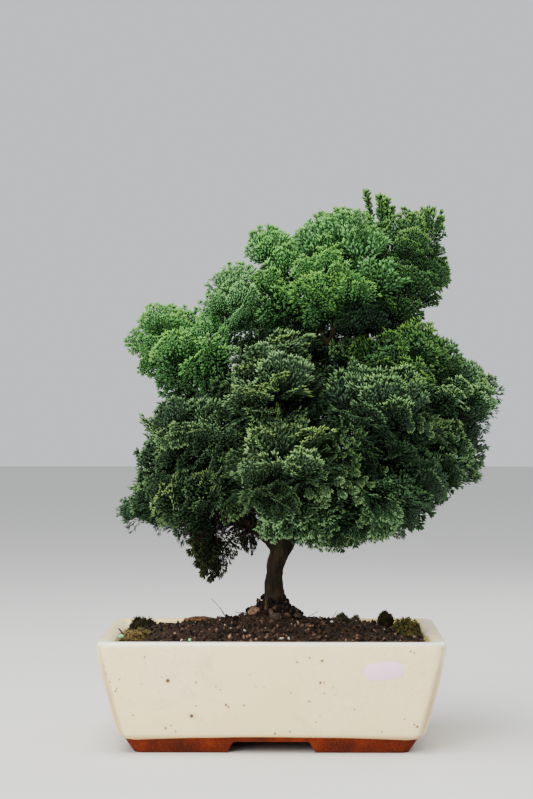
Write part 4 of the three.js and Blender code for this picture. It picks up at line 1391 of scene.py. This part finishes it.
def foliage_mass(name, habit, canopy, seed):
    """Tufts over a mass's surface, gathered in clumps, with painted light on the open parts and the
    clump tops and painted shade in the creases between them.
    """
    node = f"foliage_{name}"
    dice = np.random.default_rng(seed)
    growth = Growth()
    middle, half = middle_and_half(node)
    scale = 0.35 + 0.65 * min(1, half.min() / 24)
    points, normals = canopy.samples[node]
    # painted light: the share of open air around each point sets how pale its sprays are painted
    light = np.array([canopy.openness(p, n, dice) for p, n in zip(points, normals)])
    old_sprays(growth, middle, half, habit.old, dice)
    clumps = points[spread_poles(points, np.arange(len(points)), CLUMP["spacing"] * scale)]
    clumps = clumps + dice.normal(0, 3, clumps.shape)
    clump_tone = dice.normal(0, 0.16, len(clumps))
    spacing = GROWTH["spacing"] * (1 if middle[1] < STEM[1] else GROWTH["far"])
    lit = np.flatnonzero(light > GROWTH["least_light"])
    for i in spread_poles(points, lit, spacing * scale):
        gaps = np.linalg.norm(clumps - points[i], axis=1)
        k = gaps.argmin()
        near = min(1.0, gaps[k] / (CLUMP["radius"] * scale))
        axis = tuft_axis(points[i], normals[i], habit.lift, habit.droop, dice)
        spread = (points[i] - clumps[k]) / CLUMP["radius"]
        axis += 0.3 * np.array((spread[0], spread[1], max(0.0, spread[2])))
        axis /= np.linalg.norm(axis)
        size = GROWTH["tuft"] * scale * dice.uniform(0.8, 1.15)
        rise = np.clip((points[i][2] - clumps[k][2]) / (CLUMP["radius"] * scale), -1, 1)
        swell = habit.dome * (0.35 - near ** 2) + 2 * rise + dice.uniform(-2, 2)
        sun = sunny(points[i])
        swell += GROWTH["relief"] * max(-0.6, min(0.4, sun - 1))
        swell -= habit.sink * max(0.0, -normals[i][2])
        # painted light and shade: paler where sunny, open and high in a clump, darker in its creases
        # and lower parts
        shade = sun * (0.3 + 0.7 * light[i]) * (1 + CLUMP["shade"] * (rise - 0.5 * near))
        tip = points[i] + normals[i] * swell * scale + axis * size * 0.1
        root = tuft(growth, tip, axis, facing_of(points[i], normals[i]), size, habit, shade,
                    clump_tone[k], dice)
        twig(growth, middle, root, 0.8, dice)
    for shoot in LEADER_SHOOTS.get(name, ()):
        leader(growth, *shoot, dice)
    for foot, tip, breadth, age_and_light in RIM_FANS.get(name, ()):
        leader(growth, foot, tip, breadth, dice, FINE_FANS, (0.0, 0.35), age_and_light)
    for row in LOBES.get(name, ()):
        lobe(growth, node, canopy, dice, *row)
    return growth.mesh(node)


LEADER_SHOOTS = {  # foot and tip in millimetres, breadth
    "crown_right": (
        ((75.2, -4, 354), (70.6, -3.5, 378), 1.2), ((71.4, -3.5, 373), (67.6, -3, 397), 1.25),
        ((80, -4, 362), (78, -4, 394), 1.3), ((82, -4, 366), (83.5, -5, 391), 1.3),
        ((84, -6, 362), (87, -6, 385), 1.2), ((81, -4, 352), (77, -4, 374), 1.2),
    ),
}
RIM_FANS = {  # fans that stand out of the outline: foot, tip, breadth, and how far along the ramp they reach, for how old they are and for their painted light
    "shoulder_left": (
        ((-80, -14, 291), (-89, -16, 313), 1.0, 0.95), ((-70, -10, 290), (-73, -10, 314), 1.0, 0.9),
        ((-86, -12, 283), (-106, -14, 289), 0.8, 0.95),
        ((-82, -14, 270), (-98, -14, 266), 0.7, 0.8),
    ),
    "shoulder_upper_left": (
        ((-25, -6, 321), (-29, -7, 345), 0.9, 1.0),
    ),
    "peak_left": (
        ((-4, 0, 347), (-8, 0, 371), 0.9, 0.95), ((4, -8, 342), (5, -10, 366), 1.0, 0.9),
    ),
    "crown_centre": (
        ((50, -16, 360), (53, -17, 384), 1.1, 0.95), ((38, -16, 357), (37, -17, 380), 1.0, 0.95),
        ((59, -16, 354), (65, -17, 375), 1.0, 0.9), ((28, -14, 350), (28, -15, 372), 0.9, 0.9),
    ),
    "crown_right": (
        ((108, 0, 334), (130, 0, 337), 1.0, 0.85), ((110, 2, 346), (126, 2, 352), 0.9, 0.85),
        ((112, 0, 352), (117.5, 0, 385), 0.6, 0.9), ((82, 4, 338), (87, 2, 362), 1.0, 0.5),
        ((80, 6, 326), (90, 4, 350), 1.0, 0.4),
    ),
    "skirt_right": (
        ((110, -12, 192), (133, -14, 179), 1.0, 0.6),
    ),
    "hollow_right": (
        ((58, -24, 286), (57, -28, 309), 1.0, 0.5), ((70, -24, 288), (73, -28, 312), 1.1, 0.5),
        ((65, -20, 294), (66, -24, 322), 1.1, 0.45), ((63, -10, 290), (62, -12, 316), 1.1, 0.4),
    ),
}
STRAIGHT_AHEAD = (295, 390)  # pixel, in a frame of 533 x 799, of a point at the camera's x and z
PIXELS_PER_MM = 1.379  # at the pot's centre


def seen(depth, *pixels):
    """Millimetres across and up of pixels across and down, for what is at a depth."""
    across, camera, up = CAMERA["place"]
    scale = PIXELS_PER_MM * camera / (camera - depth)
    return [
        (round(across + (x - STRAIGHT_AHEAD[0]) / scale), round(up - (y - STRAIGHT_AHEAD[1]) / scale))
        for x, y in pixels
    ]


LOBES = {  # foot and tip in millimetres, or seen at a depth in pixels, breadth, how far along the ramp it reaches, for how old it is and for its painted light, warmth,
    # and the kind if it isn't a fan; past 1 it reaches the palest stop, a painted highlight
    "shoulder_left": (
        (*seen(-46, (182, 368), (160, 332)), 1.0, 0.95, 0.6),
        (*seen(-46, (207, 374), (205, 338)), 1.0, 0.9, 0.6),
        (*seen(-46, (166, 332), (153, 305)), 0.9, 0.95, 0.7),
    ),
    "flank_left": (
        (*seen(-60, (180, 434), (160, 402)), 1.0, 0.75, 0.45),
        (*seen(-60, (222, 460), (215, 424)), 1.1, 0.7, 0.35),
        (*seen(-60, (172, 470), (146, 440)), 1.0, 0.7, 0.5),
        (*seen(-60, (238, 486), (222, 456)), 0.9, 0.7, 0.6),
        ((-28, 236), (-48, 230), 0.9, 1.2, 0.3, "branchlet"),
        ((-56, 225), (-76, 217), 0.9, 1.2, 0.3, "branchlet"),
    ),
    "front_centre": (
        (*seen(-85, (252, 412), (246, 378)), 1.2, 0.85, 0.3),
        (*seen(-85, (283, 398), (286, 352)), 1.0, 0.9, 0.25),
        (*seen(-85, (266, 378), (257, 344)), 0.8, 0.95, 0.3),
    ),
    "front_low": (
        (*seen(-98, (284, 466), (270, 422)), 1.2, 1.0, 0.4),
        (*seen(-98, (292, 454), (291, 419)), 0.9, 0.9, 0.45),
        (*seen(-98, (298, 484), (306, 447)), 1.0, 1.0, 0.45),
        (*seen(-98, (264, 488), (248, 456)), 0.9, 0.8, 0.5),
        ((24, 192), (60, 176), 1.0, 1.45, 0.25, "branchlet"),
        ((22, 190), (36, 174), 1.0, 1.45, 0.25, "branchlet"),
        ((42, 190), (68, 186), 0.8, 1.4, 0.5, "branchlet"),
    ),
    "skirt_left": (
        (*seen(-50, (216, 496), (190, 467)), 1.1, 0.8, 0.6),
        (*seen(-50, (170, 498), (150, 474)), 0.9, 0.65, 0.5),
        (*seen(-50, (190, 498), (158, 517)), 0.9, 1.22, 0.2, "finger"),
        (*seen(-50, (212, 486), (241, 512)), 0.9, 1.22, 0.2, "finger"),
        (*seen(-50, (222, 480), (246, 500)), 0.7, 1.22, 0.2, "finger"),
    ),
    "shoulder_upper_left": (
        (*seen(-22, (228, 302), (231, 266)), 1.0, 1.0, 0.3),
        (*seen(-22, (240, 314), (246, 282)), 0.9, 0.95, 0.4),
        (*seen(-22, (222, 318), (213, 292)), 0.8, 0.95, 0.4),
    ),
    "peak_left": (
        (*seen(-16, (270, 268), (262, 227)), 0.9, 1.0, 0.4),
        (*seen(-16, (288, 286), (290, 243)), 0.9, 0.95, 0.5),
        (*seen(-16, (270, 300), (264, 268)), 0.9, 0.9, 0.85),
        (*seen(-16, (286, 320), (284, 286)), 1.0, 0.85, 0.6),
    ),
    "crown_centre": (
        (*seen(-42, (322, 262), (315, 220)), 1.0, 0.9, 0.3),
        (*seen(-42, (345, 246), (345, 208)), 1.0, 0.95, 0.5),
        (*seen(-42, (370, 300), (376, 256)), 1.2, 0.75, 0.35),
        (*seen(-42, (362, 268), (362, 222)), 1.2, 0.9, 0.45),
        (*seen(-42, (330, 278), (328, 243)), 0.9, 0.95, 0.9),
        (*seen(-42, (312, 288), (308, 253)), 0.9, 0.9, 0.6),
        (*seen(-42, (330, 312), (320, 272)), 1.1, 0.95, 0.9),
        (*seen(-42, (352, 308), (351, 277)), 1.0, 0.9, 0.9),
    ),
    "crown_right": (
        (*seen(-25, (406, 250), (402, 211)), 1.0, 0.9, 0.7),
        (*seen(-25, (413, 262), (414, 224)), 0.9, 0.85, 0.7),
        (*seen(-25, (420, 284), (446, 264)), 0.9, 0.75, 0.6),
        (*seen(-25, (406, 300), (418, 268)), 1.1, 0.7, 0.6),
    ),
    "shoulder_right": (
        (*seen(-44, (374, 376), (367, 334)), 0.8, 0.9, 0.85),
        (*seen(-44, (394, 380), (395, 340)), 1.2, 0.65, 0.3),
        (*seen(-44, (422, 360), (411, 322)), 0.9, 1.0, 0.95),
        (*seen(-44, (426, 376), (443, 336)), 1.2, 0.8, 0.5),
        ((104, 282), (124, 275), 0.6, 1.4, 0.9, "branchlet"),
    ),
    "flank_right": (
        (*seen(-30, (450, 390), (471, 364)), 1.0, 0.85, 0.4),
        (*seen(-30, (464, 406), (495, 394)), 0.9, 0.85, 0.3),
    ),
    "front_right": (
        (*seen(-96, (352, 414), (358, 370)), 1.2, 0.85, 0.5),
        (*seen(-96, (384, 418), (390, 376)), 1.1, 0.85, 0.5),
        (*seen(-96, (402, 422), (412, 381)), 0.9, 0.8, 0.6),
        ((42, 232), (54, 214), 0.8, 1.3, 0.25, "branchlet"),
        ((86, 232), (108, 222), 0.8, 1.15, 0.3, "branchlet"),
        ((31, 208), (60, 205), 0.8, 1.45, 0.25, "branchlet"),
        ((48, 207), (56, 197), 0.9, 1.45, 0.25, "branchlet"),
        ((35, 216), (61, 214), 0.8, 1.45, 0.25, "branchlet"),
        ((43, 226), (66, 221), 0.7, 1.45, 0.25, "branchlet"),
    ),
    "flank_low_right": (
        (*seen(-20, (452, 444), (478, 417)), 1.0, 0.5, 0.6),
        (*seen(-20, (452, 460), (481, 446)), 0.9, 0.8, 0.4),
        ((120, 186), (133, 200), 0.9, 0.7, 0.4),
        ((122, 216), (140, 204), 0.9, 1.2, 0.4, "branchlet"),
    ),
    "skirt_right": (
        ((48, 187), (79, 196), 1.0, 1.4, 0.6, "branchlet"),
        ((72, 173), (64, 160), 0.9, 1.4, 0.3, "branchlet"),
        ((76, 173), (84, 160), 0.9, 1.4, 0.3, "branchlet"),
        (*seen(-70, (374, 506), (393, 532)), 1.0, 1.1, 0.4),
        ((78, 168), (84, 146), 0.7, 1.0, 0.4),
        ((94, 170), (98, 150), 0.6, 0.6, 0.4),
        (*seen(-70, (424, 492), (446, 474)), 0.9, 0.6, 0.4),
    ),
    "fringe_centre": (
        ((-3, 177), (0, 157), 1.0, 1.0, 0.3),
        ((12, 178), (15, 158), 1.0, 1.0, 0.3),
        ((28, 177), (32, 158), 1.0, 0.9, 0.3),
        (*seen(-66, (268, 508), (284, 541)), 1.0, 1.15, 0.25),
        (*seen(-66, (292, 508), (300, 544)), 1.0, 1.15, 0.25),
        (*seen(-66, (318, 510), (323, 543)), 1.0, 1.15, 0.25),
    ),
    "fringe_right": (
        ((37, 158), (33, 137), 1.0, 1.1, 0.5),
        ((46, 158), (46, 138), 0.8, 1.0, 0.5),
        ((60, 162), (63, 143), 0.9, 0.8, 0.4),
    ),
}
LOBE_KINDS = {"fan": FINE_FANS, "finger": FINGERS}
LOBE_TURNS = (-0.15, 0.25)
BRANCHLET = {"steps": 6, "start": 0.1, "end": 0.85, "reach": 10, "spread": 0.8, "arch": 2.5,
             "breadth": 0.65}


def lobe(growth, node, canopy, dice, foot, tip, breadth, age_and_light, warmth, kind="fan"):
    """A fan, a finger or a branchlet that stands out in front of a mass."""
    foot = canopy.on_front(node, *foot) + (0, 2, 0)
    tip = canopy.on_front(node, *tip) - (0, 7, 0)
    if kind == "branchlet":
        branchlet(growth, foot, tip, breadth, age_and_light, warmth, dice)
    else:
        leader(growth, foot, tip, breadth, dice, LOBE_KINDS[kind], LOBE_TURNS, age_and_light, warmth)


def branchlet(growth, foot, tip, breadth, age_and_light, warmth, dice):
    """An arching shoot seen from the side, with small fingers of leaf above and below it."""
    run = tip - foot
    ahead = run / np.linalg.norm(run)
    aside = np.array([-ahead[2], 0, ahead[0]])
    steps, start = BRANCHLET["steps"], BRANCHLET["start"]
    for step in range(steps):
        share = start + (BRANCHLET["end"] - start) * step / (steps - 1)
        at = foot + run * share + aside * BRANCHLET["arch"] * math.sin(math.pi * share)
        out = ahead + aside * (-1) ** step * BRANCHLET["spread"] * (1.15 - share)
        end = at + out * BRANCHLET["reach"] * breadth * dice.uniform(0.8, 1.15)
        leader(growth, at, end, BRANCHLET["breadth"], dice, HANGERS, (0.0,),
               age_and_light * (0.85 + 0.15 * share), warmth)


def leader(growth, foot, tip, breadth, dice, kinds=LEADERS, turns=(0.0, 1.3), age_and_light=0.95, warmth=0.7):
    """A single shoot from foot to tip, made of one spray or of two that cross."""
    foot, tip = np.array(foot, float), np.array(tip, float)
    long = np.linalg.norm(tip - foot)
    for turn in turns:
        turn += dice.normal(0, 0.3)
        facing = np.array([[math.sin(turn), -math.cos(turn), 0.1]])
        slim = copy(kinds[dice.integers(0, len(kinds))])
        slim.points = slim.points * (breadth, 1, 1)
        place_sprays(growth, [slim], foot[None], (tip - foot)[None], facing,
                     np.array([long / slim.length * 0.97]), np.array([age_and_light]),
                     np.array([warmth]), dice)


HANGING_SPRAYS = (  # root and tip in millimetres, breadth, kind if not a fan
    ((-41.5, 4, 154), (-61, 2, 143), 0.7), ((-41.5, 6, 150), (-61, 8, 131), 0.7),
    ((-41.5, 2, 147), (-57, 0, 127), 0.7), ((-40, 4, 152), (-51, 2, 131), 0.7),
    ((-44, 4, 160), (-62, 3, 153), 0.6), ((-41, 4, 141), (-55, 2, 121), 0.7),
    ((-40.5, 4, 139), (-47.5, 3, 112), 0.6), ((-40, 6, 140), (-38, 6, 113), 0.4),
    ((-40, 4, 146), (-28.5, 2, 126), 0.4), ((-39, 6, 148), (-26, 8, 132), 0.5, "open"),
    ((-39, 4, 151), (-22, 6, 141), 0.5, "open"), ((-43, 12, 156), (-56, 18, 140), 0.6),
    ((-41, 10, 150), (-45, 14, 128), 0.6), ((-46, 2, 165), (-66, -2, 158), 0.5),
    ((-18.3, 4, 153), (-16, 4, 129), 0.4), ((-18.3, 4, 152), (-22, 3, 135), 0.35),
    ((-17, 4, 153), (-11, 5, 136), 0.35), ((-17, 6, 152), (-17, 12, 136), 0.5, "open"),
)
HANGING_TWIGS = (  # foot and tip in millimetres, half thickness
    ((-38, -2, 166), (-41, 4, 152), 1.3), ((-41, 4, 152), (-41.5, 4, 140), 1.1),
    ((-41, 4, 152), (-46, 3, 162), 0.9), ((-14, 0, 157), (-17, 4, 150), 0.9),
)
CROSSED_ABOVE = 0.55  # breadth from which a hanging shoot has a second spray across the first


def hanging_sprig(node, seed):
    """Open, shaded branchlets that hang from the lowest limb."""
    dice = np.random.default_rng(seed)
    growth = Growth()
    for foot, tip, thick in HANGING_TWIGS:
        twig(growth, np.array(foot, float), np.array(tip, float), thick, dice)
    for foot, tip, breadth, *kind in HANGING_SPRAYS:
        turns = (0.0, 0.3) if breadth > CROSSED_ABOVE else (0.0,)
        leader(growth, foot, tip, breadth, dice, HANGERS if kind else FANS, turns, 0.9)
    return growth.mesh(node)


# the palest stop is partly the newest growth and partly a painted highlight, reached only by lobes
# set above 1
FRESH_TIP_AND_HIGHLIGHT, TWIG_BROWN = (176, 208, 156), (34, 24, 15)


def foliage_finish(name, dark, middle, cool_tip, warm_tip):
    """Scale leaves: brown at the twig, dark green behind, pale at the newest tips, palest where a
    painted highlight is; painted light and shade set how far along this ramp each spray reaches.
    """
    leaf = Finish(name, Roughness=0.6, Specular_IOR_Level=0.22)
    u, v = leaf.uv()
    cool, warm = (
        leaf.ramp(u, (0.05, TWIG_BROWN), (0.12, dark), (half_way, middle), (fresh, tip),
                  (0.985, tip), (0.998, FRESH_TIP_AND_HIGHLIGHT))
        for half_way, fresh, tip in ((0.58, 0.9, cool_tip), (0.55, 0.88, warm_tip))
    )
    leaf.colour(leaf.mix(v, cool, warm))
    return leaf


FOLIAGE_TONES = {  # name: dark and middle of a leaf, its cool tip and its warm tip; the greens are lit and shaded copies of one foliage, the paler with painted light, the deeper with painted shade
    "pale_green": ((42, 76, 46), (100, 150, 92), (124, 176, 106), (132, 182, 84)),
    "soft_green": ((28, 62, 34), (88, 144, 76), (108, 170, 90), (126, 180, 66)),
    "golden_green": ((18, 42, 22), (56, 96, 48), (94, 146, 70), (118, 160, 62)),
    "mid_green": ((14, 29, 17), (54, 84, 52), (138, 180, 122), (148, 184, 92)),
    "deep_green": ((12, 26, 16), (42, 72, 43), (122, 168, 108), (134, 176, 82)),
    "cool_green": ((18, 33, 22), (60, 97, 61), (138, 184, 130), (150, 190, 102)),
    "shaded_green": ((24, 26, 15), (42, 54, 30), (66, 84, 46), (80, 84, 46)),
    "dried_brown": ((22, 16, 11), (38, 28, 20), (60, 46, 32), (52, 38, 26)),
}
FOLIAGE_FINISHES = {name: foliage_finish(name, *tones) for name, tones in FOLIAGE_TONES.items()}
DRIED = (  # middle in millimetres, reach, number of sprays
    ((-20, 8, 166), 13, 7), ((-33, 6, 162), 11, 7), ((6, -12, 168), 12, 6),
    ((-16, -4, 167), 8, 9), ((-24, -2, 158), 7, 7), ((137, -8, 226), 7, 4),
    ((-52, -6, 160), 11, 6), ((62, 0, 168), 14, 6),
)


def dried_sprays():
    """Dead brown sprays that hang among the inner branches."""
    dice = np.random.default_rng(71)
    growth = Growth()
    for middle, reach, number in DRIED:
        away = dice.normal(0, 1, (number, 3)) - (0, 0, 0.7)
        away /= np.linalg.norm(away, axis=1, keepdims=True)
        roots = np.array(middle) + away * reach * dice.uniform(0, 0.7, (number, 1))
        place_sprays(growth, SPRAYS, roots, away, dice.normal(0, 1, (number, 3)),
                     dice.uniform(0.35, 0.7, number), dice.uniform(0.5, 1, number),
                     dice.uniform(0.05, 0.95, number), dice)
    return growth.mesh("dried_sprays")


MASSES = {  # node without its first word: finish and habit; the paler finishes carry painted light, the deeper painted shade
    "shoulder_upper_left": ("pale_green", "crown"), "peak_left": ("soft_green", "crown"),
    "crown_centre": ("soft_green", "crown"), "crown_right": ("golden_green", "crown"),
    "shoulder_left": ("soft_green", "crown"), "shoulder_right": ("golden_green", "full"),
    "flank_right": ("cool_green", "full"), "front_right": ("deep_green", "full"),
    "front_centre": ("mid_green", "full"), "flank_left": ("mid_green", "full"),
    "skirt_left": ("mid_green", "full"), "tip_low_left": ("cool_green", "full"),
    "front_low": ("mid_green", "full"), "skirt_right": ("cool_green", "low"),
    "flank_low_right": ("cool_green", "low"), "fringe_centre": ("cool_green", "drooping"),
    "fringe_right": ("cool_green", "drooping"), "hanging_left": ("shaded_green", None),
    "crown_back": ("soft_green", "smooth"), "crown_back_right": ("golden_green", "full"),
    "shoulder_back_left": ("soft_green", "smooth"), "peak_back": ("soft_green", "smooth"),
    "back_left": ("deep_green", "full"), "back_right": ("deep_green", "full"),
    "back_centre": ("cool_green", "full"), "skirt_back_left": ("deep_green", "full"),
    "skirt_back": ("deep_green", "full"), "skirt_back_right": ("cool_green", "full"),
    "heart": ("deep_green", "inner"), "hollow_left": ("deep_green", "full"),
    "hollow_right": ("deep_green", "full"),
}
canopy = Canopy([f"foliage_{name}" for name in MASSES])
for seed, (name, (finish, habit)) in enumerate(MASSES.items(), 300):
    node = f"foliage_{name}"
    mass = foliage_mass(name, HABITS[habit], canopy, seed) if habit else hanging_sprig(node, seed)
    finish_piece(node, mass, FOLIAGE_FINISHES[finish], node)
finish_piece("dried_sprays", dried_sprays(), FOLIAGE_FINISHES["dried_brown"])


# ------------------------------------------------------------------ floor, light and camera

FLOOR_HALF = 6  # metres
SKY = {"Color": (0.83, 0.86, 0.9, 1), "Strength": 0.92}
LIGHTS = {  # name: place and aim in millimetres, side of the lamp and power in watts, tint
    "sky": ((-250, -250, 1500), (0, 0, 250), 1.2, 36, (0.96, 0.98, 1.0)),
    "front": ((-800, -1700, 800), (0, 0, 120), 1.1, 42, (1.0, 0.97, 0.92)),
    "rim": ((700, 900, 900), (20, 0, 260), 0.9, 8, (1.0, 0.99, 0.97)),
}


def stage_set():
    bm = bmesh.new()
    bmesh.ops.create_grid(bm, x_segments=1, y_segments=1, size=FLOOR_HALF)
    floor = linked("floor", mesh_from(bm, "floor"))
    pale = Finish("pale_floor", Roughness=0.9)
    pale.colour((214, 212, 208))
    floor.data.materials.append(pale.material)
    world = bpy.data.worlds.new("studio")
    world.use_nodes = True
    for socket, value in SKY.items():
        world.node_tree.nodes["Background"].inputs[socket].default_value = value
    bpy.context.scene.world = world


def hang_lights():
    for name, (spot, aim, side, power, tint) in LIGHTS.items():
        lamp = bpy.data.lights.new(name, "AREA")
        lamp.size, lamp.energy, lamp.color = side, power, tint
        holder = linked(name, lamp)
        holder.location = place(*spot)
        holder.rotation_euler = (place(*aim) - place(*spot)).to_track_quat("-Z", "Y").to_euler()


def set_camera():
    lens = bpy.data.cameras.new("camera")
    lens.lens, lens.sensor_width = CAMERA["lens"], CAMERA["sensor"]
    camera = linked("camera", lens)
    camera.location = place(*CAMERA["place"])
    camera.rotation_euler = (
        math.radians(90 - CAMERA["tip_down"]), 0, math.radians(CAMERA["turn_left"]),
    )
    bpy.context.scene.camera = camera


stage_set()
hang_lights()
set_camera()

bpy.context.view_layer.update()
